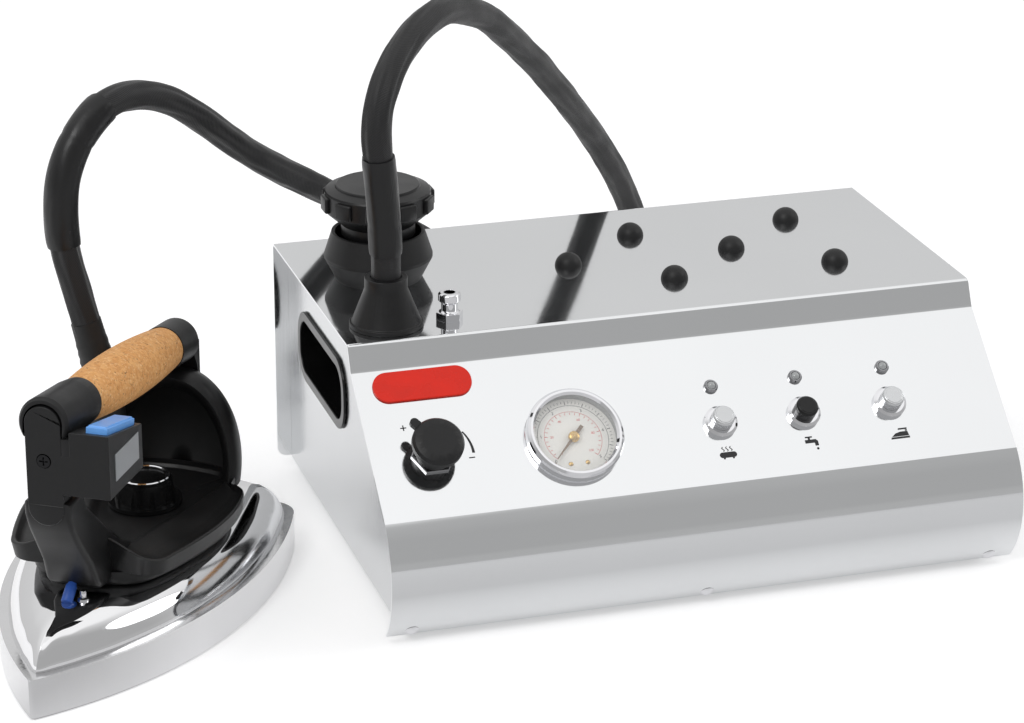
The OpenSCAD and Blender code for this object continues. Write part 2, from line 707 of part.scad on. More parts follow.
module safety_valve() {
  color([0.78, 0.62, 0.3]) base_at()
    translate([tank_x1 + 2, tank_y + end_ports[0][0], tank_z + end_ports[0][1]]) rotate([0, 90, 0]) {
      translate([0, 0, -5]) cylinder(h = 6, r = 3.9);
      hex(8, 7);
      translate([0, 0, 6]) cylinder(h = 14, r = 6);
      translate([0, 0, 20]) cylinder(h = 3, r1 = 6, r2 = 3.5);
    }
}

module pressure_switch() {
  color([0.15, 0.15, 0.16]) base_at()
    translate([tank_x1 + 2, tank_y + end_ports[1][0], tank_z + end_ports[1][1]]) rotate([0, 90, 0]) {
      translate([0, 0, -5]) cylinder(h = 6, r = 3.9);
      hex(8, 6);
      translate([0, 0, 5]) cylinder(h = 12, r = 11);
      translate([-7, -7, 16]) cube([14, 14, 10]);
    }
}

module solenoid_valve() {
  color([0.12, 0.12, 0.13]) base_at() translate([solenoid_x, solenoid_y, tray_z + tray_t]) {
    translate([-11, -11, 0]) cube([22, 22, 18]);
    translate([0, 0, 17]) cylinder(h = 8, r = 9);
    translate([-15, -14, 24]) cube([30, 28, 32]);
    translate([0, 0, 55]) cylinder(h = 6, r = 6);
  }
}

module steam_pipes() {
  port = end_ports[2];
  top_z = tray_z + tray_t;
  valve_y = panel_y - knob_d * cos(panel_tilt) + (sheet_t + 17) * sin(panel_tilt);
  valve_z = panel_z - knob_d * sin(panel_tilt) - (sheet_t + 17) * cos(panel_tilt);
  gauge_y = panel_y - gauge_d * cos(panel_tilt) + 38 * sin(panel_tilt);
  gauge_z = panel_z - gauge_d * sin(panel_tilt) - 38 * cos(panel_tilt);
  color([0.72, 0.43, 0.25]) base_at() {
    // boiler to solenoid valve
    pipe([
      [tank_x1 + 2, tank_y + port[0], tank_z + port[1]], [solenoid_x, tank_y + port[0], tank_z + port[1]],
      [solenoid_x, tank_y + port[0], top_z + 9], [solenoid_x, solenoid_y + 11, top_z + 9]
    ], 3);
    // solenoid valve to regulator
    pipe([
      [solenoid_x - 11, solenoid_y, top_z + 9], [tank_x1 + 14, solenoid_y, top_z + 9],
      [tank_x1 + 14, valve_y, top_z + 9], [tank_x1 + 14, valve_y, top_z + 20],
      [knob_x + 30, valve_y, top_z + 20], [knob_x + 30, valve_y, valve_z], [knob_x + 16, valve_y, valve_z]
    ], 3);
    // regulator to hose gland
    pipe([
      [knob_x - 16, valve_y, valve_z], [knob_x - 20, valve_y, valve_z], [knob_x - 20, valve_y, valve_z - 12],
      [gland_x, gland_y, valve_z - 12], [gland_x, gland_y, body_h - 8]
    ], 3);
    // boiler to gauge
    pipe([
      [gauge_x, tank_y - tank_r - 0.05, tank_z], [gauge_x, tank_y - tank_r - 12, tank_z],
      [gauge_x, gauge_y + 12, gauge_z - 13.6], [gauge_x, gauge_y, gauge_z]
    ], 1.6);
  }
}

module terminal_block() {
  color([0.9, 0.9, 0.86]) base_at() translate([inlet_x - 36, -36, tray_z + tray_t]) difference() {
    cube([52, 18, 16]);
    for (i = [0:3]) translate([6.5 + i * 13, 9, 6]) cylinder(h = 20, r = 2.6);
    for (i = [0:3]) translate([6.5 + i * 13, -1, 6]) rotate([-90, 0, 0]) cylinder(h = 30, r = 2.2);
  }
}

module mains_gland() {
  color([0.08, 0.08, 0.085]) base_at() translate([inlet_x, 0, inlet_z]) rotate([-90, 0, 0]) difference() {
    union() {
      hex(11.5, 4);
      translate([0, 0, 3.9]) cylinder(h = 4, r1 = 9.4, r2 = 7.2);
      translate([0, 0, -14]) cylinder(h = 15, r = 8);
    }
    translate([0, 0, -16]) cylinder(h = 30, r = 4.2);
  }
}

// ---- iron: heated part ----

// outline of the sole drawn in by d: two arcs meeting at the nose, straight heel with round corners
module sole_2d(d, heel) {
  r = sole_r - d;
  off = sole_r - sole_half_w;
  c = heel_r - d > 4 ? heel_r - d : 4;
  reach = heel - sole_mid;
  side_y = sqrt((r - c) * (r - c) - (reach - c) * (reach - c)) - off;
  near = heel - c;
  intersection() {
    translate([sole_mid, -off]) circle(r);
    translate([sole_mid, off]) circle(r);
    translate([1 + d * 1.5, -sole_half_w * 2]) square([near - 1 - d * 1.5, sole_half_w * 4]);
  }
  translate([near - 5, -side_y]) square([c + 5, 2 * side_y]);
  for (s = [-1, 1]) translate([near, s * side_y]) circle(c);
}

module soleplate() {
  color([0.8, 0.81, 0.82]) iron_at() difference() {
    union() {
      linear_extrude(1.2) sole_2d(1.2, sole_l - 1.2);
      translate([0, 0, 1.2]) linear_extrude(sole_t - 1.2) sole_2d(0, sole_l);
    }
    translate([0, 0, sole_t - 7]) linear_extrude(10) sole_2d(10, sole_l - 10);
    for (s = [40:20:200]) for (y = [-1, 1])
      translate([s, y * (8 + s * 0.14), -1]) cylinder(h = sole_t, r = 1.6);
  }
}

// closed loop that follows the sole's outline, with two terminals at the heel
module iron_element() {
  color([0.5, 0.45, 0.42]) iron_at() translate([0, 0, sole_t - 6.9]) {
    linear_extrude(5.5) difference() {
      sole_2d(18, sole_l - 18);
      sole_2d(25, sole_l - 25);
    }
    for (y = [-10, 10]) translate([sole_l - 21.5, y, 0]) cylinder(h = 14, r = 2.4);
  }
}

// solid between two drawn-in outlines: sides are cones, so the walls slope exactly
module cover_solid(d0, d1, z0, h, heel0, heel1) {
  off = sole_r - sole_half_w;
  lean = atan2(heel0 - heel1, h);
  intersection() {
    translate([sole_mid, -off, z0]) cylinder(h = h, r1 = sole_r - d0, r2 = sole_r - d1);
    translate([sole_mid, off, z0]) cylinder(h = h, r1 = sole_r - d0, r2 = sole_r - d1);
    translate([heel0, 0, z0]) rotate([0, -lean, 0]) translate([-600, -200, -50]) cube([600, 400, 200]);
  }
}

module iron_cover() {
  color([0.86, 0.87, 0.88]) iron_at() difference() {
    union() {
      translate([0, 0, cover_z]) linear_extrude(3.2) sole_2d(3.6, sole_l - 3.5);
      cover_solid(6, 22, cover_z + 3, cover_h - 3, sole_l - 7, sole_l - 20);
    }
    cover_solid(9, 24.2, cover_z - 2, cover_h + 0.6, sole_l - 10, sole_l - 22);
    translate([dial_s, 0, block_z - 8]) cylinder(h = 20, r = 9);
    translate([lead_s, 9, block_z - 8]) cylinder(h = 20, r = 2.5);
    translate([inlet_s, -inlet_side, block_z - 8]) cylinder(h = 20, r = 3.2);
  }
}

module shield_block() {
  color([0.07, 0.07, 0.075]) iron_at() difference() {
    intersection() {
      translate([0, 0, block_z]) linear_extrude(shield_z - block_z) sole_2d(27, 186);
      translate([74, -100, 0]) cube([200, 200, 100]);
    }
    translate([dial_s, 0, block_z - 8]) cylinder(h = 40, r = 9);
    translate([hose_in_s - hose_r - 6, hose_in_y - hose_r - 6, 0]) cube([100, 100, 100]);
  }
}

module heat_shield() {
  floor_z = shield_z;
  rear_c = [148, 0, 78];
  rear_r = 71;
  color([0.065, 0.065, 0.07]) iron_at() difference() {
    union() {
      // dished tray with leaning lips
      intersection() {
        difference() {
          cover_solid(20, 13, floor_z, 9, 214, 217);
          cover_solid(22.5, 15.6, floor_z + shield_t, 9, 211.5, 214.5);
        }
        translate([72, 0, 0]) rotate([0, 0, -45]) cube([400, 400, 200]);
      }
      // front lips of the tray, from the stem out to the corners
      for (m = [0, 1]) mirror([0, m, 0]) translate([72, 0, floor_z]) rotate([0, 0, 45])
        translate([4, -2.6, 0]) cube([49, 2.6, 7]);
      // rear wall behind the hand, part of a ball
      intersection() {
        translate(rear_c) difference() {
          sphere(rear_r);
          sphere(rear_r - 3.2);
        }
        rear_wedge(0);
      }
      intersection() {
        translate(rear_c) difference() {
          sphere(rear_r + 1.6);
          sphere(rear_r - 7);
        }
        difference() {
          rear_wedge(0);
          rear_wedge(4.2);
        }
      }
    }
    translate([dial_s, 0, floor_z - 5]) cylinder(h = 20, r = 6);
    translate([inlet_s, -inlet_side, floor_z - 5]) cylinder(h = 20, r = 5);
    translate([hose_in_s, hose_in_y, floor_z - 5]) cylinder(h = 40, r = hose_r + 4);
    translate([40, -12.1, 0]) cube([34, 24.2, 200]);
  }
}

// space the rear wall fills: wide at the tray, narrow under the grip
module rear_wedge(d) {
  z0 = shield_z + 0.5;
  z1 = 107;
  translate([150, 0, 0]) rotate([90, 0, 90]) linear_extrude(90)
    polygon([[-36 + d, z0 - d], [36 - d, z0 - d], [11 - d, z1], [-11 + d, z1]]);
}

// ---- iron: handle ----

module grip_stem() {
  color([0.06, 0.06, 0.065]) iron_at() difference() {
    union() {
      translate([0, 12, 0]) rotate([90, 0, 0]) linear_extrude(24)
        polygon([[31, 106], [31, 96], [50, block_z + 0.1], [73.6, block_z + 0.1], [73.6, shield_z], [60, 74], [50, 88], [50, 106]]);
    }
    translate([box_s0 - 1, -9.6, 97.8]) cube([40, 19.2, 30]);
  }
}

module cork_grip() {
  end_r = 11.7;
  bow = cork_r - end_r;
  arc = (cork_l * cork_l / 4 + bow * bow) / (2 * bow);
  color([0.76, 0.53, 0.3]) on_grip() translate([cap_front_l, 0, 0]) rotate([0, 90, 0]) rotate_extrude()
    difference() {
      intersection() {
        translate([cork_r - arc, cork_l / 2]) circle(arc, $fn = 360);
        translate([4, 0]) square([cork_r, cork_l]);
      }
      translate([0, -1]) square([4, cork_l + 2]);
    }
}

module grip_cap_front() {
  color([0.06, 0.06, 0.065]) difference() {
    on_grip() union() {
      rotate([0, 90, 0]) cylinder(h = 2, r1 = cap_front_r - 1.4, r2 = cap_front_r);
      translate([2, 0, 0]) rotate([0, 90, 0]) cylinder(h = cap_front_l - 12, r = cap_front_r);
      translate([cap_front_l - 10, 0, 0]) rotate([0, 90, 0]) cylinder(h = 10, r1 = cap_front_r, r2 = 12.2);
    }
    on_grip() translate([cap_front_l - 8, 0, 0]) rotate([0, 90, 0]) cylinder(h = 20, r = 4.1);
    iron_at() translate([box_s0 - 8, 0, grip_h - 0.6]) rotate([0, 90, 0]) cylinder(h = 24.5, r = 10.2);
    iron_at() translate([box_s0 - 8, -10.2, grip_h - 40]) cube([24.5, 20.4, 39.4]);
  }
}

module grip_cap_rear() {
  s0 = cap_front_l + cork_l;
  color([0.06, 0.06, 0.065]) difference() {
    union() {
      on_grip() {
        translate([s0, 0, 0]) rotate([0, 90, 0]) cylinder(h = cap_rear_l - 5, r = 12.2);
        translate([s0 + cap_rear_l - 5, 0, 0]) rotate([0, 90, 0]) cylinder(h = 5, r1 = 12.2, r2 = 8.5);
      }
      difference() {
        iron_at() translate([202, -10, 101]) cube([16, 20, 20]);
        iron_at() translate([148, 0, 78]) sphere(72.8);
      }
    }
    on_grip() translate([s0 - 8, 0, 0]) rotate([0, 90, 0]) cylinder(h = 20, r = 4.1);
  }
}

module grip_rod() {
  color([0.6, 0.6, 0.62]) on_grip() translate([cap_front_l - 7, 0, 0]) rotate([0, 90, 0])
    cylinder(h = cork_l + 18, r = 3.9);
}

// side view of the switch box, in (s, z)
module box_2d(d) {
  polygon([
    [box_s0 + d, box_z0 + d], [box_s1 - d, box_z0 + d],
    [box_s1 - d, box_z1 - d - (box_s1 - box_s0) * tan(box_tilt)], [box_s0 + d, box_z1 - d]
  ]);
}

module switch_housing() {
  color([0.055, 0.055, 0.06]) iron_at() difference() {
    union() {
      // column under the front cap, with its round top
      translate([box_s0, 0, grip_h - 0.6]) rotate([0, 90, 0]) cylinder(h = 15.5, r = 9.4);
      translate([box_s0, -9.4, 106.4]) cube([15.5, 18.8, grip_h - 107]);
      translate([box_s0, -9.4, 98]) cube([15.5, 18.8, 9]);
      // web from the column to the box, below the grip cap
      translate([box_s0, box_y1 - 1, 109]) cube([15.5, 6, 20.6]);
      // box at the right of the column
      translate([0, box_y1, 0]) rotate([90, 0, 0]) linear_extrude(box_y1 - box_y0) box_2d(0);
    }
    translate([0, box_y1 - 2, 0]) rotate([90, 0, 0]) linear_extrude(box_y1 - box_y0 - 4) box_2d(2.2);
    // opening for the steam button
    on_button() translate([-0.3, -0.3, -6]) cube([button_l + 0.6, button_w + 0.6, 12]);
    translate([box_s0 - 1, 0, 126]) rotate([0, 90, 0]) cylinder(h = 12, r = 2);
    translate([box_s0 - 1, 0, 126]) rotate([0, 90, 0]) cylinder(h = 2.6, r = 3.6);
  }
}

// local X runs down the sloping top of the switch box, Z leaves it
module on_button() {
  translate([box_s0 + 5, box_y0 + 2.6, box_z1 - 5 * tan(box_tilt)]) rotate([0, box_tilt, 0]) children();
}

module steam_button() {
  color([0.3, 0.55, 0.85]) iron_at() on_button() {
    translate([0, 0, -3.6]) cube([button_l, button_w, 6.6]);
    translate([1, 0.8, 3]) cube([button_l - 2, button_w - 1.6, 0.8]);
  }
}

module micro_switch() {
  color([0.14, 0.14, 0.15]) iron_at() translate([box_s0 + 8, box_y0 + 4, box_z0 + 2.4]) {
    cube([28, 10, 12]);
    translate([6, 3, 11]) cube([4, 4, box_z1 - box_z0 - 24]);
  }
}

module label_plate() {
  color([0.55, 0.56, 0.57]) iron_at() translate([box_s0 + 7.5, box_y0 - 0.4, box_z0 + 7.4]) cube([30, 0.4, 14]);
}

module iron_screw() {
  color([0.25, 0.25, 0.26]) iron_at() translate([box_s0 + 1.6, 0, 126]) rotate([0, -90, 0]) difference() {
    union() {
      cylinder(h = 1.8, r = 3.4);
      translate([0, 0, -8]) cylinder(h = 9, r = 1.9);
    }
    for (a = [0, 90]) rotate([0, 0, a]) translate([-2.2, -0.4, 0.9]) cube([4.4, 0.8, 2]);
  }
}

module thermostat_dial() {
  z0 = shield_z + shield_t + 0.4;
  color([0.05, 0.05, 0.055]) iron_at() translate([dial_s, 0, 0]) {
    translate([0, 0, z0]) cylinder(h = 2, r = dial_r);
    difference() {
      translate([0, 0, z0 + 2]) cylinder(h = 11.5, r1 = dial_r - 3.5, r2 = dial_r - 5);
      for (i = [0:9]) rotate([0, 0, 36 * i]) translate([dial_r - 2.2, 0, z0 + 2]) cylinder(h = 20, r = 2.4);
    }
    translate([0, 0, z0 + 13.4]) difference() {
      cylinder(h = 1.4, r = dial_r - 6);
      translate([0, 0, 0.6]) cylinder(h = 2, r = dial_r - 8);
    }
    translate([0, 0, block_z - 6]) cylinder(h = z0 - block_z + 8, r = 3);
  }
}

module iron_thermostat() {
  color([0.75, 0.7, 0.6]) iron_at() translate([dial_s, 0, 0]) difference() {
    union() {
      translate([0, 0, sole_t - 6.9]) cylinder(h = 9, r = 8);
      translate([0, 0, sole_t + 2]) cylinder(h = block_z - sole_t - 4, r = 5);
    }
    translate([0, 0, block_z - 7]) cylinder(h = 20, r = 3.05);
  }
}

module steam_inlet() {
  color([0.82, 0.83, 0.85]) iron_at() translate([inlet_s, -inlet_side, 0]) {
    translate([0, 0, sole_t + 4]) cylinder(h = shield_z - sole_t - 3, r = 3);
    translate([0, 0, block_z]) hex(6.5, 5);
  }
}

// ---- hose ----

module hose_boot() {
  color([0.07, 0.07, 0.07]) difference() {
    union() {
      base_at() sweep(HOSE_ROUTE, len(HOSE_ROUTE) - 4, len(HOSE_ROUTE) - 1, hose_r + 1.2, hose_r + 3, 24);
      iron_at() translate([hose_in_s, hose_in_y, block_z + 0.1]) cylinder(h = 35, r = hose_r + 3.4);
    }
    base_at() sweep(HOSE_ROUTE, len(HOSE_ROUTE) - 5, len(HOSE_ROUTE) - 1, hose_r + 0.3, hose_r + 0.3, 12);
  }
}

module steam_hose() {
  color([0.07, 0.07, 0.075]) base_at() sweep(HOSE_ROUTE, 0, len(HOSE_ROUTE) - 1, hose_r, hose_r, 12);
}

module hose_sleeve(from, to) {
  base_at() difference() {
    sweep(HOSE_ROUTE, from, to, hose_r + 1.2, hose_r + 1.2, 12);
    sweep(HOSE_ROUTE, from - 1, to + 1, hose_r + 0.3, hose_r + 0.3, 12);
  }
}

module hose_sleeves() {
  color([0.05, 0.05, 0.055]) {
    hose_sleeve(1, 3);
    hose_sleeve(35, 39);
  }
}

casing_wrap();
side_panel_left();
side_panel_right();
base_tray();
side_recess_left();
side_recess_right();
rubber_feet();
apron_screws();
rear_screws();
rest_domes();
filler_collar();
filler_plug();
filler_gasket();
filler_cap();
hose_gland();
holder_socket();
regulator_valve();
regulator_knob();
gauge_case();
gauge_bezel();
gauge_dial();
gauge_needle();
gauge_glass();
switch_bodies();
boiler_button();
water_button();
iron_button();
lamp_bezels();
lamp_lenses();
badge_plate();
boiler_tank();
heating_element();
boiler_brackets();
safety_valve();
pressure_switch();
solenoid_valve();
steam_pipes();
terminal_block();
mains_gland();
soleplate();
iron_element();
iron_cover();
shield_block();
heat_shield();
grip_stem();
cork_grip();
grip_cap_front();
grip_cap_rear();
grip_rod();
switch_housing();
steam_button();
micro_switch();
label_plate();
iron_screw();
thermostat_dial();
iron_thermostat();
steam_inlet();
hose_boot();
steam_hose();
hose_sleeves();
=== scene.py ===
"""Steam generator iron: a stainless boiler unit and a cork-handled iron on its steam hose.

Run as a script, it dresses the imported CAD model, adds the modelled pieces and sets up a plain studio.
Lengths inside the modelling functions are millimetres; every finished mesh is in metres, in the CAD frame.
"""

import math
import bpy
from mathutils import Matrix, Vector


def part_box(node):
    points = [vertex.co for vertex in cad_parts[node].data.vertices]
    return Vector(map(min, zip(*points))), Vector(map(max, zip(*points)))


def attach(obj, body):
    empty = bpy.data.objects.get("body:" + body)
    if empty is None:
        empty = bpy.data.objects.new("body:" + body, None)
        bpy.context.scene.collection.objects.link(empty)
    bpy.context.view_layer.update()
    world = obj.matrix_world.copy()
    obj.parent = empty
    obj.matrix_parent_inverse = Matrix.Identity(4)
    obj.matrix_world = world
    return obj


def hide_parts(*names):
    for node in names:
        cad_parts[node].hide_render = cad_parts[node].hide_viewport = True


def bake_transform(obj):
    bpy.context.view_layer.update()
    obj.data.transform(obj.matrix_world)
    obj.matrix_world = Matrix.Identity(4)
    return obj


bl_info = {
    "name": "Steam Generator Iron",
    "version": (1, 0, 0),
    "blender": (4, 5, 0),
    "location": "3D View > Sidebar > Ironing",
    "description": "Builds a steam generator iron around its CAD frame, piece by piece",
    "category": "Object",
}

import bmesh
import bpy
from bpy.props import FloatProperty, FloatVectorProperty, IntProperty, PointerProperty
from mathutils import Matrix, Vector, noise

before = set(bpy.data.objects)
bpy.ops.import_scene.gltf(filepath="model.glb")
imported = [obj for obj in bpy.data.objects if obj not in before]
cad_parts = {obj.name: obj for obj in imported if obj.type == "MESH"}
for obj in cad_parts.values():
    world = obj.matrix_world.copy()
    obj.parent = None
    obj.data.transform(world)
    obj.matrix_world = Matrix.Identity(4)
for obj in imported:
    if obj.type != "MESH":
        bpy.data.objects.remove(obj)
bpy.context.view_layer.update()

# ---- where things are, in millimetres, as in the part's source ----

TO_METRES = Matrix.Scale(0.001, 4)
CASING_LOW, CASING_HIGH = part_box("casing_wrap")
BASE_X = (CASING_LOW.x + CASING_HIGH.x) * 500
BASE_Y = CASING_HIGH.y * 1000
BASE = Matrix.Translation((BASE_X, BASE_Y, 0))
BODY_TOP = 138.0
PANEL_TILT = math.atan2(57.6, 65.3)
PANEL = BASE @ Matrix.Translation((0, -172.2, 124.7)) @ Matrix.Rotation(PANEL_TILT, 4, "X")
IRON = Matrix.Translation((-267.1, -139.0, 0)) @ Matrix.Rotation(math.radians(57.3), 4, "Z")
GAUGE_AT = (-65.8, -50.8)
KNOB_AT = (-141.8, -51.4)

# Lowest and highest level of printing on the panel and on the dial.
PANEL_INK = (0.02, 0.08)
DIAL_INK = (0.03, 0.08)

HOSE_R = 7.7
HOSE_ROUTE = (
    (-147.5, -142, 156), (-147.5, -142, 178.6), (-149, -143.5, 204), (-152.2, -147.2, 232), (-153, -148, 249),
    (-149, -144, 265), (-138, -132, 279), (-120, -112, 289), (-98, -87, 290), (-70, -57, 277),
    (-41, -24, 251), (-12, 8, 220), (19, 42, 183), (45, 71, 149), (70, 98, 108), (88, 118, 68),
    (103, 138, 34), (117, 163, 14), (121, 194, 9), (110, 225, 9), (84, 248, 9), (50, 250, 9),
    (20, 232, 9), (0, 203, 9), (-14, 172, 10), (-22, 140, 20), (-31, 112, 45), (-45, 83, 76),
    (-66, 58, 106), (-100, 37, 132), (-139, 13, 160), (-186, -15, 194), (-226, -40, 230),
    (-245, -52, 244), (-262, -62, 250), (-280, -73, 249), (-296, -83, 236), (-305, -88, 219),
    (-308, -90, 200), (-307, -90, 180), (-303, -91, 160), (-298, -93, 138), (-293, -96, 114),
    (-290, -98, 90), (-289, -99, 72),
)


def linear(red, green, blue):
    """A colour as it looks on a screen, as the linear values that a shader takes."""
    return tuple(c / 12.92 if c <= 0.04045 else ((c + 0.055) / 1.055) ** 2.4 for c in (red, green, blue))


def on_panel(place, height=0.0):
    """Matrix of a fitting on the control panel: X to the right, Y up the panel, Z out of it."""
    return PANEL @ Matrix.Translation((place[0], place[1], height))


# ---- settings ----


class StageSettings(bpy.types.PropertyGroup):
    """Camera and studio."""

    lens: FloatProperty(name="Lens", description="Focal length of the camera", default=117.7, unit="CAMERA")
    camera_place: FloatVectorProperty(
        name="Camera", description="Where the camera stands", default=(-0.4782, -1.6016, 0.765),
        subtype="TRANSLATION",
    )
    azimuth: FloatProperty(
        name="Azimuth", description="Turn of the view round the object", default=math.radians(-17.34),
        subtype="ANGLE",
    )
    elevation: FloatProperty(
        name="Elevation", description="Height of the view above level", default=math.radians(21.49),
        subtype="ANGLE",
    )
    roll: FloatProperty(
        name="Roll", description="Roll of the camera", default=math.radians(0.25), subtype="ANGLE",
    )
    floor_tone: FloatProperty(
        name="Floor", description="Lightness of the floor", default=0.8, min=0.0, max=1.0,
    )
    key_power: FloatProperty(
        name="Key lamp", description="Power of the large soft lamp", default=30.0, unit="POWER",
    )


class HoseSettings(bpy.types.PropertyGroup):
    """Textile sheath and shrink sleeves of the steam hose."""

    fold_depth: FloatProperty(
        name="Folds", description="Depth of the folds, mm", default=0.55, min=0.0, max=1.5,
    )
    sides: IntProperty(name="Sides", description="Faces round the sheath", default=64, min=24, max=96)
    sheath: FloatVectorProperty(
        name="Sheath", description="Colour of the textile sheath", default=linear(0.1, 0.1, 0.105),
        subtype="COLOR",
    )


class CasingSettings(bpy.types.PropertyGroup):
    """Bent stainless sheet and its black fittings."""

    bend: FloatProperty(name="Bend radius", description="Outer radius of the bends, mm", default=2.4, min=0.5)
    sheet: FloatVectorProperty(
        name="Sheet", description="Colour of the polished sheet", default=linear(0.93, 0.935, 0.94),
        subtype="COLOR",
    )
    badge: FloatVectorProperty(
        name="Badge", description="Colour of the blank badge", default=linear(0.87, 0.14, 0.06),
        subtype="COLOR",
    )


class ControlSettings(bpy.types.PropertyGroup):
    """Gauge, buttons, lamps and printed marks."""

    ticks: IntProperty(name="Ticks", description="Ticks on the gauge's outer scale", default=51, min=11)
    print_tone: FloatVectorProperty(
        name="Print", description="Colour of the printed marks", default=linear(0.1, 0.1, 0.11),
        subtype="COLOR",
    )


class IronSettings(bpy.types.PropertyGroup):
    """The iron's cork, plastics and metal."""

    cork: FloatVectorProperty(
        name="Cork", description="Main colour of the cork", default=linear(0.84, 0.62, 0.39), subtype="COLOR",
    )
    button: FloatVectorProperty(
        name="Steam button", description="Colour of the steam button", default=linear(0.4, 0.66, 0.95),
        subtype="COLOR",
    )
    plastic: FloatVectorProperty(
        name="Plastic", description="Colour of the black plastic", default=linear(0.075, 0.075, 0.078),
        subtype="COLOR",
    )


# ---- finishes ----


class Wire:
    """A value in a finish's node tree. Ordinary arithmetic on it adds Math nodes."""

    def __init__(self, finish, socket):
        self.finish = finish
        self.socket = socket

    def pick(self, name):
        """Another output of the same node."""
        return Wire(self.finish, self.socket.node.outputs[name])

    def maths(self, operation, first, second=0.0):
        return self.finish.node("ShaderNodeMath", {"operation": operation}, {0: first, 1: second})

    def __add__(self, other):
        return self.maths("ADD", self, other)

    def __radd__(self, other):
        return self.maths("ADD", other, self)

    def __sub__(self, other):
        return self.maths("SUBTRACT", self, other)

    def __rsub__(self, other):
        return self.maths("SUBTRACT", other, self)

    def __mul__(self, other):
        return self.maths("MULTIPLY", self, other)

    def __rmul__(self, other):
        return self.maths("MULTIPLY", other, self)

    def __truediv__(self, other):
        return self.maths("DIVIDE", self, other)

    def __pow__(self, other):
        return self.maths("POWER", self, other)

    def sine(self):
        return self.maths("SINE", self)

    def above(self, level):
        """1 where the value is over the level, else 0."""
        return self.maths("GREATER_THAN", self, level)


class Finish:
    """One procedural material: a principled shader and the nodes that vary it."""

    def __init__(self, name, colour, roughness, metallic=0.0, **sockets):
        self.material = bpy.data.materials.new(name)
        self.material.use_nodes = True
        self.tree = self.material.node_tree
        self.tree.nodes.clear()
        self.shader = self.tree.nodes.new("ShaderNodeBsdfPrincipled")
        self.out = self.tree.nodes.new("ShaderNodeOutputMaterial")
        self.tree.links.new(self.shader.outputs[0], self.out.inputs["Surface"])
        self.set("Base Color", (*colour[:3], 1))
        self.set("Roughness", roughness)
        self.set("Metallic", metallic)
        for socket, value in sockets.items():
            self.set(socket.replace("_", " "), value)
        self.colour = (*colour[:3], 1)

    def node(self, kind, settings=None, inputs=None, output=0):
        """Adds a node: its settings come first, then the values or links of its sockets."""
        made = self.tree.nodes.new(kind)
        for name, value in (settings or {}).items():
            if name == "stops":
                self.stops(made.color_ramp, value)
            else:
                setattr(made, name, value)
        for name, value in (inputs or {}).items():
            self.feed(made.inputs[name], value)
        return Wire(self, made.outputs[output])

    def stops(self, ramp, values):
        while len(ramp.elements) > 1:
            ramp.elements.remove(ramp.elements[0])
        ramp.elements[0].position = values[0][0]
        ramp.elements[0].color = (*values[0][1], 1)
        for place, colour in values[1:]:
            ramp.elements.new(place).color = (*colour, 1)

    def feed(self, socket, value):
        if isinstance(value, Wire):
            self.tree.links.new(value.socket, socket)
        else:
            socket.default_value = value

    def set(self, name, value):
        self.feed(self.shader.inputs[name], value)

    def place(self, matrix=None, stretch=(1, 1, 1)):
        """Object coordinates, or the same in a fitting's own frame in metres, then stretched."""
        point = self.node("ShaderNodeTexCoord", output="Object")
        if matrix is not None:
            turn = matrix.to_3x3().transposed()
            shift = -(turn @ (matrix.translation * 0.001))
            point = self.node(
                "ShaderNodeMapping", None, {"Vector": point, "Rotation": turn.to_euler(), "Location": shift}
            )
        if stretch != (1, 1, 1):
            point = self.node("ShaderNodeMapping", None, {"Vector": point, "Scale": stretch})
        return point

    def speckle(self, scale, detail=3.0, where=None, roughness=0.5, distortion=0.0):
        """Noise from 0 to 1 at so many features a metre."""
        where = where or self.place()
        return self.node(
            "ShaderNodeTexNoise",
            None,
            {
                "Vector": where,
                "Scale": scale,
                "Detail": detail,
                "Roughness": roughness,
                "Distortion": distortion,
            },
        )

    def between(self, factor, first, second):
        """Colour mixed from one to another by a factor."""
        mix = self.tree.nodes.new("ShaderNodeMix")
        mix.data_type = "RGBA"
        self.feed(mix.inputs[0], factor)
        for slot, value in ((6, first), (7, second)):
            self.feed(mix.inputs[slot], value if isinstance(value, Wire) else (*value[:3], 1))
        return Wire(self, mix.outputs[2])

    def fade(self, value, low, high, to_low=0.0, to_high=1.0):
        """Maps low..high to to_low..to_high, held at the ends."""
        return self.node(
            "ShaderNodeMapRange",
            None,
            {"Value": value, "From Min": low, "From Max": high, "To Min": to_low, "To Max": to_high},
        )

    def bump(self, height, strength, depth):
        """Fine relief of so many metres."""
        self.set(
            "Normal",
            self.node("ShaderNodeBump", None, {"Height": height, "Strength": strength, "Distance": depth})
        )

    def tint(self, factor, darker, lighter):
        """Base colour between two multiples of the finish's own."""
        first = tuple(c * darker for c in self.colour[:3])
        second = tuple(min(1.0, c * lighter) for c in self.colour[:3])
        self.set("Base Color", self.between(factor, first, second))


FINISHES = {}


def finish_named(name):
    """The material of that name, made once."""
    if name not in FINISHES:
        FINISHES[name] = MAKERS[name]().material
    return FINISHES[name]


def polished_sheet():
    """Bright rolled stainless: a mirror with a faint grain along the sheet."""
    look = Finish("polished_sheet", bpy.context.scene.iron_casing.sheet, 0.08, 1.0)
    grain = look.speckle(900, 4, look.place(stretch=(0.02, 1, 1)))
    cloud = look.speckle(9, 2)
    look.set("Roughness", look.fade(grain, 0.3, 0.7, 0.055, 0.085) + look.fade(cloud, 0.35, 0.75, 0.0, 0.03))
    look.tint(cloud, 0.965, 1.02)
    look.bump(grain, 0.06, 0.00002)
    return look


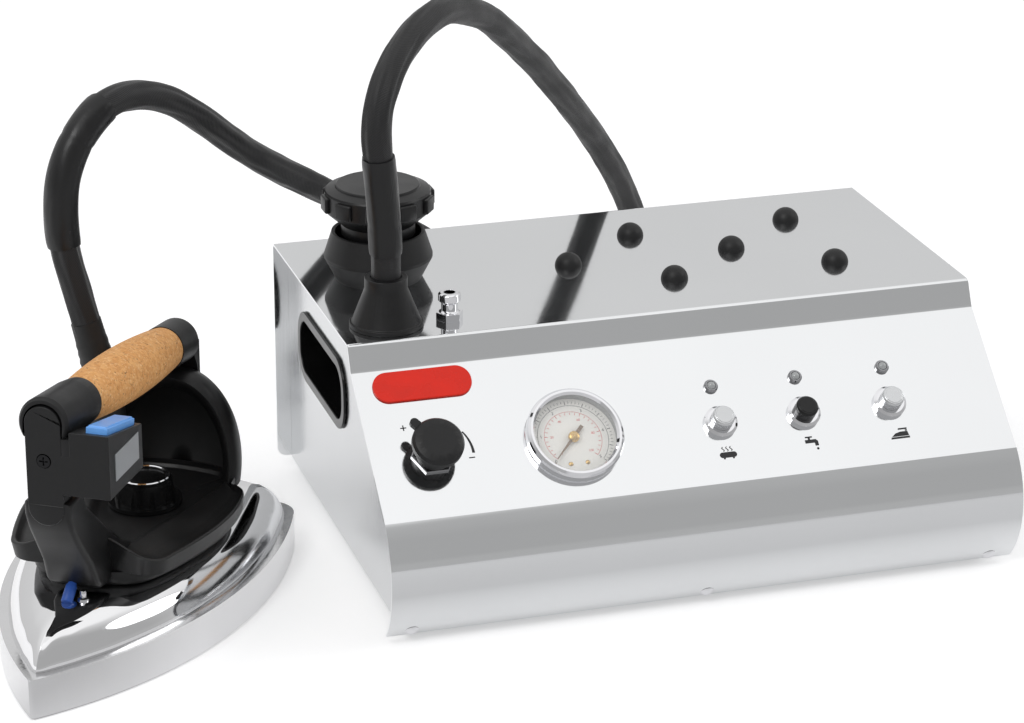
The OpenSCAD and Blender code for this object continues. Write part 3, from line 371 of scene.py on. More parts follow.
def side_sheet():
    """Side panel sheet: duller, with upright grain."""
    look = Finish("side_sheet", linear(0.86, 0.865, 0.87), 0.14, 1.0)
    grain = look.speckle(700, 4, look.place(stretch=(1, 1, 0.03)))
    cloud = look.speckle(14, 2)
    look.set("Roughness", look.fade(grain, 0.3, 0.7, 0.1, 0.2) + look.fade(cloud, 0.35, 0.75, 0.0, 0.05))
    look.tint(grain, 0.9, 1.04)
    look.bump(grain, 0.1, 0.00003)
    return look


def tray_steel():
    look = Finish("tray_steel", linear(0.72, 0.73, 0.74), 0.35, 1.0)
    grain = look.speckle(500, 4, look.place(stretch=(0.05, 1, 1)))
    look.set("Roughness", look.fade(grain, 0.3, 0.7, 0.28, 0.46))
    look.tint(grain, 0.85, 1.08)
    look.bump(grain, 0.15, 0.00004)
    return look


def chrome(name="chrome", roughness=0.05, tone=(0.93, 0.93, 0.94)):
    look = Finish(name, linear(*tone), roughness, 1.0)
    cloud = look.speckle(60, 3)
    look.set("Roughness", look.fade(cloud, 0.3, 0.75, roughness * 0.6, roughness * 1.6))
    look.tint(cloud, 0.95, 1.0)
    look.bump(look.speckle(35, 1), 0.05, 0.0004)
    return look


def cover_chrome():
    """Plated cover of the iron: mirror, slightly wavy as a pressing is."""
    look = Finish("cover_chrome", linear(0.95, 0.95, 0.955), 0.035, 1.0)
    cloud = look.speckle(45, 3)
    look.set("Roughness", look.fade(cloud, 0.35, 0.75, 0.02, 0.06))
    look.tint(cloud, 0.97, 1.0)
    look.bump(look.speckle(22, 1.0), 0.12, 0.0012)
    return look


def satin_cap():
    """Turned button metal with a satin finish."""
    return chrome("satin_cap", 0.24, (0.84, 0.845, 0.85))


def ring_chrome():
    return chrome("ring_chrome", 0.12, (0.6, 0.6, 0.61))


def screw_steel():
    return chrome("screw_steel", 0.2, (0.8, 0.8, 0.81))


def screw_black():
    """Blackened screw head."""
    return chrome("screw_black", 0.3, (0.2, 0.2, 0.205))


def sole_metal():
    """Cast aluminium with milled sides and a worn face."""
    look = Finish("sole_metal", linear(0.9, 0.9, 0.905), 0.18, 1.0)
    milled = look.speckle(600, 4, look.place(stretch=(1, 1, 0.05)))
    cloud = look.speckle(30, 4)
    look.set("Roughness", look.fade(milled, 0.3, 0.7, 0.1, 0.2) + look.fade(cloud, 0.4, 0.8, 0.0, 0.08))
    look.tint(cloud, 0.93, 1.03)
    look.bump(milled, 0.12, 0.00004)
    return look


def moulded(name, colour, rough, grain_depth, coat=0.0):
    """Moulded black plastic: fine spark texture and a slightly uneven gloss."""
    look = Finish(name, colour, rough, Coat_Weight=coat, Coat_Roughness=0.12, Specular_IOR_Level=0.38)
    grain = look.speckle(2600, 3)
    cloud = look.speckle(40, 3)
    look.set("Roughness", look.fade(cloud, 0.3, 0.7, rough * 0.85, rough * 1.2))
    look.tint(look.speckle(300, 4), 0.8, 1.35)
    look.bump(grain, 0.35, grain_depth)
    return look


def black_plastic():
    return moulded("black_plastic", bpy.context.scene.iron_tool.plastic, 0.36, 0.00005)


def matte_plastic():
    return moulded("matte_plastic", linear(0.085, 0.085, 0.088), 0.44, 0.00007)


def gloss_plastic():
    return moulded("gloss_plastic", linear(0.05, 0.05, 0.052), 0.2, 0.00001)


def black_rubber():
    look = Finish("black_rubber", linear(0.07, 0.07, 0.072), 0.5)
    cloud = look.speckle(120, 5)
    look.set("Roughness", look.fade(cloud, 0.3, 0.7, 0.42, 0.62))
    look.tint(cloud, 0.75, 1.4)
    look.bump(look.speckle(1500, 3), 0.25, 0.00006)
    return look


def metal_with_marks(name, colour, rough):
    look = Finish(name, colour, rough, 1.0)
    cloud = look.speckle(180, 5)
    look.set("Roughness", look.fade(cloud, 0.3, 0.75, rough * 0.75, rough * 1.5))
    look.tint(look.speckle(70, 4), 0.72, 1.12)
    look.bump(cloud, 0.15, 0.00008)
    return look


def brass():
    return metal_with_marks("brass", linear(0.86, 0.71, 0.42), 0.26)


def copper():
    return metal_with_marks("copper", linear(0.82, 0.55, 0.4), 0.3)


def boiler_metal():
    return metal_with_marks("boiler_metal", linear(0.76, 0.77, 0.78), 0.32)


def heat_tinted():
    return metal_with_marks("heat_tinted", linear(0.62, 0.56, 0.5), 0.4)


def coil_case():
    return moulded("coil_case", linear(0.24, 0.24, 0.25), 0.55, 0.00008)


def terminal_plastic():
    return moulded("terminal_plastic", linear(0.9, 0.89, 0.85), 0.45, 0.00003)


def red_enamel():
    """Blank badge: glassy enamel with a slightly uneven tone."""
    look = Finish("red_enamel", bpy.context.scene.iron_casing.badge, 0.32, Specular_IOR_Level=0.35)
    cloud = look.speckle(90, 4)
    look.tint(cloud, 0.82, 1.12)
    look.set("Roughness", look.fade(cloud, 0.3, 0.7, 0.22, 0.36))
    look.bump(look.speckle(60, 1), 0.08, 0.0002)
    return look


def dial_paper():
    look = Finish("dial_paper", linear(0.95, 0.945, 0.92), 0.5)
    cloud = look.speckle(120, 4)
    look.tint(cloud, 0.96, 1.02)
    look.set("Roughness", look.fade(cloud, 0.3, 0.7, 0.42, 0.58))
    return look


def printed(name, colour):
    """Screen-printed ink: thin, satin, with a slightly uneven tone."""
    look = Finish(name, colour, 0.42)
    cloud = look.speckle(900, 4)
    look.tint(cloud, 0.8, 1.3)
    look.set("Roughness", look.fade(cloud, 0.3, 0.7, 0.35, 0.5))
    return look


def black_print():
    return printed("black_print", bpy.context.scene.iron_controls.print_tone)


def red_print():
    return printed("red_print", linear(0.8, 0.2, 0.16))


def needle_paint():
    return printed("needle_paint", linear(0.42, 0.33, 0.22))


def window_glass():
    look = Finish("window_glass", (1.0, 1.0, 1.0), 0.02, Alpha=0.1, IOR=1.45)
    cloud = look.speckle(80, 3)
    look.set("Roughness", look.fade(cloud, 0.4, 0.9, 0.0, 0.03))
    return look


def lamp_lens():
    look = Finish("lamp_lens", linear(0.62, 0.63, 0.63), 0.16, Coat_Weight=0.8, Coat_Roughness=0.05)
    look.tint(look.speckle(500, 3), 0.75, 1.2)
    look.bump(look.speckle(900, 1), 0.15, 0.0001)
    return look


def label_foil():
    """Blank rating label: grey printed foil."""
    look = Finish("label_foil", linear(0.62, 0.63, 0.64), 0.35, 0.25)
    cloud = look.speckle(260, 4)
    look.tint(cloud, 0.85, 1.12)
    look.set("Roughness", look.fade(cloud, 0.3, 0.7, 0.28, 0.45))
    return look


def blue_plastic():
    look = Finish(
        "blue_plastic", bpy.context.scene.iron_tool.button, 0.35, Coat_Weight=0.2, Coat_Roughness=0.12,
    )
    cloud = look.speckle(110, 3)
    look.tint(cloud, 0.88, 1.12)
    look.set("Roughness", look.fade(cloud, 0.3, 0.7, 0.3, 0.43))
    look.bump(look.speckle(1800, 2), 0.1, 0.00003)
    return look


def lead_sleeve():
    return moulded("lead_sleeve", linear(0.15, 0.3, 0.6), 0.4, 0.00005)


def cork():
    """Pressed cork: tan granules of two sizes with dark and pale flecks between them."""
    look = Finish("cork", bpy.context.scene.iron_tool.cork, 0.72)
    warp = look.speckle(260, 3)
    point = look.place()
    cells = look.node(
        "ShaderNodeTexVoronoi", {"feature": "F1"}, {"Vector": point, "Scale": 620, "Randomness": 1.0},
    )
    fine = look.node(
        "ShaderNodeTexVoronoi", {"feature": "F1"}, {"Vector": point, "Scale": 1250, "Randomness": 1.0},
    )
    tone = look.node("ShaderNodeSeparateColor", None, {0: cells.pick("Color")})
    small = look.node("ShaderNodeSeparateColor", None, {0: fine.pick("Color")})
    base = look.between(
        look.fade(tone, 0.0, 1.0), linear(0.84, 0.59, 0.34), linear(0.93, 0.71, 0.45)
    )
    warm = look.between(look.fade(warp, 0.35, 0.7, 0.0, 0.55), base, linear(0.86, 0.6, 0.34))
    dark = look.fade(small, 0.0, 0.16, 1.0, 0.0) * look.fade(look.speckle(150, 2), 0.42, 0.6)
    pale = look.fade(small.pick("Green"), 0.86, 1.0, 0.0, 0.7)
    flecked = look.between(dark * 0.75, warm, linear(0.4, 0.22, 0.1))
    look.set("Base Color", look.between(pale, flecked, linear(0.97, 0.82, 0.62)))
    look.set("Roughness", look.fade(warp, 0.3, 0.7, 0.6, 0.85))
    gap = look.fade(cells.pick("Distance"), 0.25, 0.75, 1.0, 0.0)
    look.bump(gap * 0.6 + dark * -0.8 + look.speckle(1600, 4) * 0.5, 0.5, 0.00022)
    return look


def textile_sheath():
    """Black braided textile: crossing bundles that follow the hose, with a dull satin sheen."""
    look = Finish(
        "textile_sheath", bpy.context.scene.iron_hose.sheath, 0.5, Sheen_Weight=0.06, Sheen_Roughness=0.45,
        Specular_IOR_Level=0.45,
    )
    run = look.node("ShaderNodeUVMap", {"uv_map": "sheath"})
    axes = look.node("ShaderNodeSeparateXYZ", None, {0: run})
    around, along = axes * (2 * math.pi), axes.pick("Y")
    left = (around * 30 + along * 5200).sine()
    right = (around * 30 - along * 5200).sine()
    over = look.fade((left * right), -0.5, 0.5)
    weave = over * (left * 0.5 + 0.5) + (1 - over) * (right * 0.5 + 0.5)
    thread = (around * 90 + along * 900).sine() * 0.5 + 0.5
    worn = look.speckle(45, 4)
    # Colour follows the braid's relief: painted shade in the hollows between bundles and a painted highlight
    # on their crowns, mixed with random worn patches.
    look.tint(weave * 0.6 + worn * 0.4, 0.35, 1.5)
    look.set("Roughness", look.fade(worn, 0.3, 0.7, 0.4, 0.58))
    look.bump(weave + thread * 0.25, 0.45, 0.00018)
    return look


def shrink_sleeve():
    """Shrunk-on tubing: satin black with long soft creases."""
    look = Finish("shrink_sleeve", linear(0.085, 0.085, 0.088), 0.38, Specular_IOR_Level=0.4)
    crease = look.speckle(110, 4, look.place(stretch=(1, 1, 0.25)), 0.55, 1.2)
    look.set("Roughness", look.fade(crease, 0.3, 0.7, 0.26, 0.46))
    # Colour follows the creases: painted shade in their hollows and a painted highlight on their ridges.
    look.tint(crease, 0.75, 1.3)
    look.bump(crease, 0.45, 0.0007)
    return look


MAKERS = {
    maker.__name__: maker
    for maker in (
        polished_sheet, side_sheet, tray_steel, chrome, cover_chrome, satin_cap, ring_chrome,
        screw_steel, screw_black, sole_metal, black_plastic, matte_plastic, gloss_plastic,
        black_rubber, brass, copper, boiler_metal, heat_tinted, coil_case, terminal_plastic,
        red_enamel, dial_paper, black_print, red_print, needle_paint, window_glass, lamp_lens,
        label_foil, blue_plastic, lead_sleeve, cork, textile_sheath, shrink_sleeve,
    )
}


# ---- modelling ----


def dress(finish, *nodes):
    """Gives CAD nodes their finish."""
    for node in nodes:
        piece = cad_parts[node]
        if not piece.material_slots:
            piece.data.materials.append(finish_named(finish))
        for held in piece.material_slots:
            held.link = "OBJECT"
            held.material = finish_named(finish)


def ease_edges(width, *nodes, segments=2, angle=32):
    """Rounds the sharp edges of CAD nodes with modifiers, by so many millimetres."""
    for node in nodes:
        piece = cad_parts[node]
        weld = piece.modifiers.new("weld", "WELD")
        weld.merge_threshold = 0.000002
        flat = piece.modifiers.new("flat", "DECIMATE")
        flat.decimate_type = "DISSOLVE"
        flat.angle_limit = math.radians(0.5)
        edges = piece.modifiers.new("edges", "BEVEL")
        edges.width = width * 0.001
        edges.segments = segments
        edges.limit_method = "ANGLE"
        edges.angle_limit = math.radians(angle)
        edges.harden_normals = False
        even = piece.modifiers.new("even", "WEIGHTED_NORMAL")
        even.keep_sharp = False


def lathe(profile, steps=72):
    """A turned solid from (radius, height) points."""
    bm = bmesh.new()
    verts = [bm.verts.new((radius, 0, height)) for radius, height in profile]
    edges = [bm.edges.new(pair) for pair in zip(verts, verts[1:])]
    bmesh.ops.spin(
        bm, geom=verts + edges, cent=(0, 0, 0), axis=(0, 0, 1), angle=2 * math.pi, steps=steps, use_merge=True
    )
    bmesh.ops.remove_doubles(bm, verts=bm.verts[:], dist=0.0005)
    return bm


def plate(outline, low, high):
    """A flat plate from a closed outline of (x, y) points."""
    bm = bmesh.new()
    face = bm.faces.new([bm.verts.new((x, y, low)) for x, y in outline])
    raised = bmesh.ops.extrude_face_region(bm, geom=[face])["geom"]
    bmesh.ops.translate(
        bm, verts=[v for v in raised if isinstance(v, bmesh.types.BMVert)], vec=(0, 0, high - low)
    )
    return bm


def block(size, centre=(0, 0, 0), bevel=0.0, segments=3):
    """A box with rounded edges."""
    bm = bmesh.new()
    bmesh.ops.create_cube(bm, size=1)
    bmesh.ops.scale(bm, vec=size, verts=bm.verts)
    bmesh.ops.translate(bm, vec=centre, verts=bm.verts)
    if bevel:
        round_edges(bm, bm.edges[:], bevel, segments)
    return bm


def round_edges(bm, edges, width, segments=3):
    bmesh.ops.bevel(
        bm, geom=edges, offset=width, offset_type="OFFSET", segments=segments, profile=0.5,
        affect="EDGES", clamp_overlap=True, material=-1,
    )


def arc(centre, radius, start, end, steps=16):
    """Points on a circle between two angles in degrees."""
    return [
        (
            centre[0] + radius * math.cos(math.radians(start + (end - start) * i / steps)),
            centre[1] + radius * math.sin(math.radians(start + (end - start) * i / steps)),
        )
        for i in range(steps + 1)
    ]


def joined(*shapes):
    """Several bmesh shapes as one; each may come with the matrix that places it."""
    whole = bmesh.new()
    for shape in shapes:
        bm, matrix = shape if isinstance(shape, tuple) else (shape, None)
        if matrix is not None:
            bmesh.ops.transform(bm, matrix=matrix, verts=bm.verts)
        mesh = bpy.data.meshes.new("part")
        bm.to_mesh(mesh)
        bm.free()
        whole.from_mesh(mesh)
        bpy.data.meshes.remove(mesh)
    return whole


def finished(bm, name, matrix, body, finish, replaces=(), crease=38, outward=True):
    """Turns a shape into a piece: placed, smooth, dressed and riding on its body, if it has just one."""
    if outward:
        bmesh.ops.recalc_face_normals(bm, faces=bm.faces)
    bmesh.ops.transform(bm, matrix=TO_METRES @ matrix, verts=bm.verts)
    mesh = bpy.data.meshes.new(name)
    bm.to_mesh(mesh)
    bm.free()
    mesh.shade_smooth()
    mesh.set_sharp_from_angle(angle=math.radians(crease))
    piece = bpy.data.objects.new(name, mesh)
    bpy.context.scene.collection.objects.link(piece)
    mesh.materials.append(finish_named(finish))
    if body is not None:
        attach(piece, body)
    if replaces:
        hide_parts(*replaces)
    return piece


def centred_on(node, height):
    """A place over the middle of a CAD node, at that height in millimetres."""
    low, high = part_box(node)
    return Matrix.Translation(((low.x + high.x) * 500, (low.y + high.y) * 500, height))


def merged_copy(node):
    """A CAD node's shape in millimetres, its loose triangles merged and its flats made whole."""
    bm = bmesh.new()
    bm.from_mesh(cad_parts[node].data)
    bmesh.ops.scale(bm, vec=(1000, 1000, 1000), verts=bm.verts)
    bmesh.ops.remove_doubles(bm, verts=bm.verts[:], dist=0.002)
    bmesh.ops.dissolve_limit(bm, angle_limit=math.radians(0.5), verts=bm.verts[:], edges=bm.edges[:])
    return bm


# ---- smooth lines and skins ----


def spline(points, steps):
    """A smooth curve through the points, with so many steps in each span."""
    pts = [Vector(p) for p in points]
    pts = [pts[0] * 2 - pts[1]] + pts + [pts[-1] * 2 - pts[-2]]
    fine = []
    for a, b, c, d in zip(pts, pts[1:], pts[2:], pts[3:]):
        for k in range(steps):
            t = k / steps
            fine.append(
                0.5 * (
                    (2 * b)
                    + (c - a) * t
                    + (2 * a - 5 * b + 4 * c - d) * t * t
                    + (3 * b - a - 3 * c + d) * t ** 3
                )
            )
    return fine + [pts[-2]]


def mirrored_loop(half, steps):
    """A closed outline from its right half, which starts and ends on the middle line."""
    side = spline(half, steps)
    return side + [Vector((p.x, -p.y, p.z)) for p in reversed(side[1:-1])]


def skin(rows, wrap=True):
    """A surface over rows of points, closed round each row and capped at both ends."""
    sides = len(rows[0]) if wrap else len(rows[0]) - 1
    bm = bmesh.new()
    bmesh.ops.create_grid(bm, x_segments=sides, y_segments=len(rows) - 1, size=1)
    for vert in bm.verts:
        turn = round((vert.co.x + 1) / 2 * sides)
        row = round((vert.co.y + 1) / 2 * (len(rows) - 1))
        vert.co = rows[row][turn % sides if wrap else turn]
    if wrap:
        bmesh.ops.remove_doubles(bm, verts=bm.verts[:], dist=0.0005)
        bmesh.ops.holes_fill(bm, edges=bm.edges[:], sides=0)
    return bm


def smooth_route(points, spacing):
    """Points at an even spacing on a smooth curve through the given ones."""
    fine = spline(points, 24)
    run = [0.0]
    for a, b in zip(fine, fine[1:]):
        run.append(run[-1] + (b - a).length)
    count = max(2, round(run[-1] / spacing))
    even, k = [], 0
    for i in range(count + 1):
        goal = run[-1] * i / count
        while k < len(run) - 2 and run[k + 1] < goal:
            k += 1
        t = (goal - run[k]) / (run[k + 1] - run[k])
        even.append(fine[k].lerp(fine[k + 1], min(1.0, t)))
    return even


def length_of(points):
    return sum((b - a).length for a, b in zip(points, points[1:]))


def tube(points, radius_at, sides, map_name="sheath"):
    """A closed tube along a line, with a map: X round it, Y along it in metres.

    radius_at takes the distance along and the angle round, and gives the radius there.
    """
    rings = len(points) - 1
    ways = [(points[min(i + 1, rings)] - points[max(i - 1, 0)]).normalized() for i in range(rings + 1)]
    side = ways[0].orthogonal().normalized()
    sides_at, run = [], [0.0]
    for i in range(rings + 1):
        side = (side - ways[i] * side.dot(ways[i])).normalized()
        sides_at.append(side)
        if i:
            run.append(run[-1] + (points[i] - points[i - 1]).length)
    bm = bmesh.new()
    layer = bm.loops.layers.uv.new(map_name)
    bmesh.ops.create_grid(bm, x_segments=sides, y_segments=rings, size=1, calc_uvs=True)
    for face in bm.faces:
        for loop in face.loops:
            ring = round((loop.vert.co.y + 1) / 2 * rings)
            loop[layer].uv = ((loop.vert.co.x + 1) / 2, run[ring] * 0.001)
    for vert in bm.verts:
        turn = round((vert.co.x + 1) / 2 * sides) % sides * 2 * math.pi / sides
        ring = round((vert.co.y + 1) / 2 * rings)
        across = sides_at[ring]
        up = ways[ring].cross(across)
        radius = radius_at(run[ring], turn)
        vert.co = points[ring] + (across * math.cos(turn) + up * math.sin(turn)) * radius
    bmesh.ops.remove_doubles(bm, verts=bm.verts[:], dist=0.0005)
    bmesh.ops.holes_fill(bm, edges=bm.edges[:], sides=0)
    return bm


def gathers(run, turn, depth, seed):
    """Lengthwise ridges of a loose textile sheath, which come and go along it."""
    wander = noise.noise(Vector((run / 55, seed, 1.7))) * 2.4
    strength = 0.55 + 0.9 * noise.noise(Vector((math.cos(turn) * 1.2, math.sin(turn) * 1.2, run / 38 + seed)))
    return depth * max(0.0, strength) * math.cos(7 * (turn + run * 0.004) + wander)


def folds(run, turn, depth, seed, along=26.0, count=2.2):
    """Soft lengthwise folds of a sheath: how far it stands in or out, in millimetres."""
    twist = turn + run * 0.006
    point = Vector((math.cos(twist) * count, math.sin(twist) * count, run / along + seed))
    return depth * (noise.noise(point) + 0.45 * noise.noise(point * 2.1 + Vector((9, 4, 2))))


# ---- operators, one for each piece or group of like pieces ----


class BuildStage(bpy.types.Operator):
    """Camera, pale floor, soft lamps and surroundings"""

    bl_idname = "ironing.stage"
    bl_label = "Stage"

    def execute(self, context):
        settings = context.scene.iron_stage
        self.camera(context, settings)
        self.floor(settings)
        self.lamp("key_lamp", (-1.7, -1.5, 2.6), 1.7, settings.key_power)
        self.lamp("fill_lamp", (2.4, -0.6, 1.7), 1.4, settings.key_power * 0.3)
        self.surroundings(context)
        context.scene.view_settings.view_transform = "Standard"
        return {"FINISHED"}

    def camera(self, context, settings):
        az, el = settings.azimuth, settings.elevation
        back = Vector((math.sin(az) * math.cos(el), -math.cos(az) * math.cos(el), math.sin(el)))
        right = Vector((math.cos(az), math.sin(az), 0))
        up = back.cross(right)
        turn = Matrix((right, up, back)).transposed().to_4x4() @ Matrix.Rotation(settings.roll, 4, "Z")
        data = bpy.data.cameras.new("camera")
        data.lens = settings.lens
        data.sensor_width = 36
        data.clip_start, data.clip_end = 0.01, 50
        eye = bpy.data.objects.new("camera", data)
        eye.matrix_world = Matrix.Translation(settings.camera_place) @ turn
        context.scene.collection.objects.link(eye)
        context.scene.camera = eye

    def floor(self, settings):
        bm = bmesh.new()
        bmesh.ops.create_grid(bm, x_segments=1, y_segments=1, size=8)
        mesh = bpy.data.meshes.new("floor")
        bm.to_mesh(mesh)
        bm.free()
        floor = bpy.data.objects.new("floor", mesh)
        bpy.context.scene.collection.objects.link(floor)
        look = Finish("floor_white", (settings.floor_tone,) * 3, 0.9)
        look.set("Specular IOR Level", 0.0)
        path = look.node("ShaderNodeLightPath", output="Is Camera Ray")
        axes = look.node("ShaderNodeSeparateXYZ", None, {0: look.place()})
        behind = look.fade(axes.pick("Y"), -0.16, -0.09)
        seen = path + path.pick("Is Glossy Ray") * behind * 0.8
        look.set("Emission Color", look.between(seen, (0, 0, 0), (1, 1, 1)))
        look.set("Emission Strength", 0.4)
        # Painted reflection: seen in metal, the floor in front of the object is darker than its own tone.
        in_metal = path.pick("Is Glossy Ray") * (1.0 - behind)
        tone = settings.floor_tone
        look.set("Base Color", look.between(in_metal, (tone,) * 3, (tone * 0.86,) * 3))
        mesh.materials.append(look.material)

    def lamp(self, name, place, size, power):
        data = bpy.data.lights.new(name, "AREA")
        data.shape = "DISK"
        data.size = size
        data.energy = power
        lamp = bpy.data.objects.new(name, data)
        lamp.location = place
        lamp.rotation_mode = "QUATERNION"
        lamp.rotation_quaternion = (Vector((0, 0, 0.1)) - Vector(place)).to_track_quat("-Z", "Y")
        bpy.context.scene.collection.objects.link(lamp)

    def surroundings(self, context):
        """White to the eye; to metal, a pale room with a greyer band low down on the viewer's side."""
        world = bpy.data.worlds.new("studio")
        world.use_nodes = True
        context.scene.world = world
        tree = world.node_tree
        tree.nodes.clear()
        look = Finish.__new__(Finish)
        look.tree = tree
        path = look.node("ShaderNodeLightPath")
        ray = look.node("ShaderNodeTexCoord", output="Generated")
        axes = look.node("ShaderNodeSeparateXYZ", None, {0: ray})
        height = axes.pick("Z")
        near = look.fade(axes.pick("Y"), -0.35, 0.1, 1.0, 0.0)
        far_side = look.node(
            "ShaderNodeValToRGB",
            {"stops": [(0.0, (0.62,) * 3), (0.3, (0.66,) * 3), (0.55, (0.8,) * 3), (0.85, (1.0,) * 3)]},
            {0: height},
        )
        near_side = look.node(
            "ShaderNodeValToRGB",
            {
                "stops": [
                    (0.0, (0.46,) * 3), (0.1, (0.46,) * 3), (0.17, (0.42,) * 3), (0.6, (0.42,) * 3),
                    (0.79, (0.46,) * 3), (0.83, (1.0,) * 3), (0.93, (1.08,) * 3), (0.965, (0.88,) * 3),
                    (1.0, (0.86,) * 3),
                ]
            },
            {0: height},
        )
        seen_in_metal = look.between(near, far_side, near_side)
        lit = look.between(path.pick("Is Glossy Ray"), (0.68, 0.68, 0.69), seen_in_metal)
        colour = look.between(path.pick("Is Camera Ray"), lit, (1, 1, 1))
        sky = tree.nodes.new("ShaderNodeBackground")
        look.feed(sky.inputs["Color"], colour)
        out = tree.nodes.new("ShaderNodeOutputWorld")
        tree.links.new(sky.outputs[0], out.inputs["Surface"])


class BuildHose(bpy.types.Operator):
    """Steam hose in its textile sheath, the shrink sleeves at its ends and the boot on the iron"""

    bl_idname = "ironing.hose"
    bl_label = "Steam hose"

    def execute(self, context):
        settings = context.scene.iron_hose
        line = smooth_route(HOSE_ROUTE, 2.4)
        total = length_of(line)

        def sheath_radius(run, turn):
            calm = min(1.0, run / 30, (total - run) / 30)
            loose = folds(run, turn, settings.fold_depth, 3.0) + gathers(
                run, turn, settings.fold_depth * 0.75, 5.0,
            )
            return HOSE_R + loose * max(0.1, calm)

        hose = finished(
            tube(line, sheath_radius, settings.sides), "hose_sheath", BASE, None, "textile_sheath",
            ("steam_hose",), 80,
        )
        lower = self.sleeve(line, HOSE_ROUTE[1], HOSE_ROUTE[3], 8.0, "hose_sleeve_base", "base", ())
        upper = self.sleeve(
            line, HOSE_ROUTE[35], HOSE_ROUTE[39], 17.0, "hose_sleeve_iron", None, ("hose_sleeves",),
        )
        boot = self.boot(line)
        for piece in (hose, upper):
            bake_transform(piece)
        path = [tuple((BASE @ p) * 0.001) for p in line]
        return {"FINISHED"}

    def nearest(self, line, point):
        point = Vector(point)
        return min(range(len(line)), key=lambda i: (line[i] - point).length)

    def sleeve(self, line, start, end, seed, name, body, replaces):
        part = line[self.nearest(line, start): self.nearest(line, end) + 1]
        total = length_of(part)

        def radius(run, turn):
            edge = min(1.0, run / 2.5, (total - run) / 2.5)
            seam = 0.55 * max(0.0, math.cos(turn * 2)) ** 6
            ring = -0.35 * math.exp(-((run - total * 0.3) / 1.6) ** 2)
            lift = 0.75 + 0.3 * edge + seam + ring
            return HOSE_R + lift + folds(run, turn, 0.35, seed, 30.0, 1.5)

        return finished(
            tube(part, radius, 40), name, BASE, body, "shrink_sleeve", replaces, 60
        )

    def boot(self, line):
        """Tapered, ribbed strain relief that stands on the iron's cover."""
        part = line[self.nearest(line, HOSE_ROUTE[-4]):]
        foot = Vector(part[-1])
        levels = (70, 67.5, 65, 62.5, 60, 57, 54, 51, 48, 45, 41.2)
        part = part + [Vector((foot.x, foot.y, z)) for z in levels]
        total = length_of(part)

        def radius(run, turn):
            share = run / total
            rib = 0.45 * max(0.0, math.sin(run * 1.25)) if 0.12 < share < 0.72 else 0.0
            return HOSE_R + 0.4 + 2.9 * min(1.0, share * 1.25) ** 1.2 + rib

        return finished(
            tube(part, radius, 40), "hose_boot_ribbed", BASE, "iron", "black_rubber",
            ("hose_boot",), 50,
        )


class BuildCasing(bpy.types.Operator):
    """Bent stainless casing, side panels, tray, finger pockets, feet and screws"""

    bl_idname = "ironing.casing"
    bl_label = "Casing"

    def execute(self, context):
        bm = merged_copy("casing_wrap")
        bend = context.scene.iron_casing.bend
        self.bend(bm, 0, 138, bend)
        self.bend(bm, -1.2, 136.8, max(0.2, bend - 1.2))
        self.bend(bm, -166, 138, bend * 0.64)
        self.bend(bm, -172.2, 124.7, bend * 0.5)
        piece = finished(
            bm, "casing_sheet", Matrix.Identity(4), "base", "polished_sheet",
            ("casing_wrap",), 17, False,
        )
        even = piece.modifiers.new("even", "WEIGHTED_NORMAL")
        even.keep_sharp = True
        dress("side_sheet", "side_panel_left", "side_panel_right")
        dress("tray_steel", "base_tray")
        dress("gloss_plastic", "side_recess_left", "side_recess_right")
        ease_edges(0.6, "side_recess_left", "side_recess_right")
        dress("black_rubber", "rubber_feet")
        dress("matte_plastic", "rest_domes")
        dress("chrome", "apron_screws")
        dress("screw_steel", "rear_screws")
        dress("gloss_plastic", "mains_gland")
        ease_edges(0.5, "mains_gland")
        return {"FINISHED"}

    def bend(self, bm, y, z, width):
        """Rounds the bend that runs along the sheet at (y, z) of its profile."""
        at_y = y + BASE_Y
        edges = [
            e
            for e in bm.edges
            if all(abs(v.co.y - at_y) < 0.05 and abs(v.co.z - z) < 0.05 for v in e.verts)
        ]
        if edges:
            round_edges(bm, edges, width, 5)


class BuildBadge(bpy.types.Operator):
    """Blank red enamel badge with rounded edges"""

    bl_idname = "ironing.badge"
    bl_label = "Badge"

    def execute(self, context):
        dress("red_enamel", "badge_plate")
        ease_edges(0.6, "badge_plate", segments=4)
        return {"FINISHED"}


class BuildFiller(bpy.types.Operator):
    """Filler collar, neck, plug, seal and lugged cap"""

    bl_idname = "ironing.filler"
    bl_label = "Filler"

    def execute(self, context):
        dress("matte_plastic", "filler_collar")
        cap = lathe(
            [
                (0, 44.2), (6.06, 44.2), (6.06, 28.2), (15.2, 28.2), (15.2, 25), (19.9, 25), (20.2, 25.4),
                (20.2, 31.4), (28.3, 38.6), (28.9, 39.4), (28.9, 49.4), (28.3, 50.4), (23.2, 52.1),
                (22.9, 52.9), (22.3, 53.3), (0, 53.6),
            ],
            96,
        )
        lugs = [
            (block((3.4, 10.4, 8.6), (29.1, 0, 44.2), 1.1, 3), Matrix.Rotation(math.tau * i / 10, 4, "Z"))
            for i in range(10)
        ]
        place = centred_on("filler_cap", BODY_TOP)
        finished(
            joined(cap, *lugs), "filler_cap_moulded", place, "filler_cap", "black_plastic",
            ("filler_cap",), 25,
        )
        dress("brass", "filler_plug")
        dress("black_rubber", "filler_gasket")
        return {"FINISHED"}


class BuildTopFittings(bpy.types.Operator):
    """Hose gland and the turned socket for the hose holder"""

    bl_idname = "ironing.top_fittings"
    bl_label = "Top fittings"

    def execute(self, context):
        dress("black_plastic", "hose_gland")
        ease_edges(0.8, "hose_gland", segments=3, angle=25)
        dress("chrome", "holder_socket")
        ease_edges(0.35, "holder_socket", segments=2, angle=25)
        return {"FINISHED"}


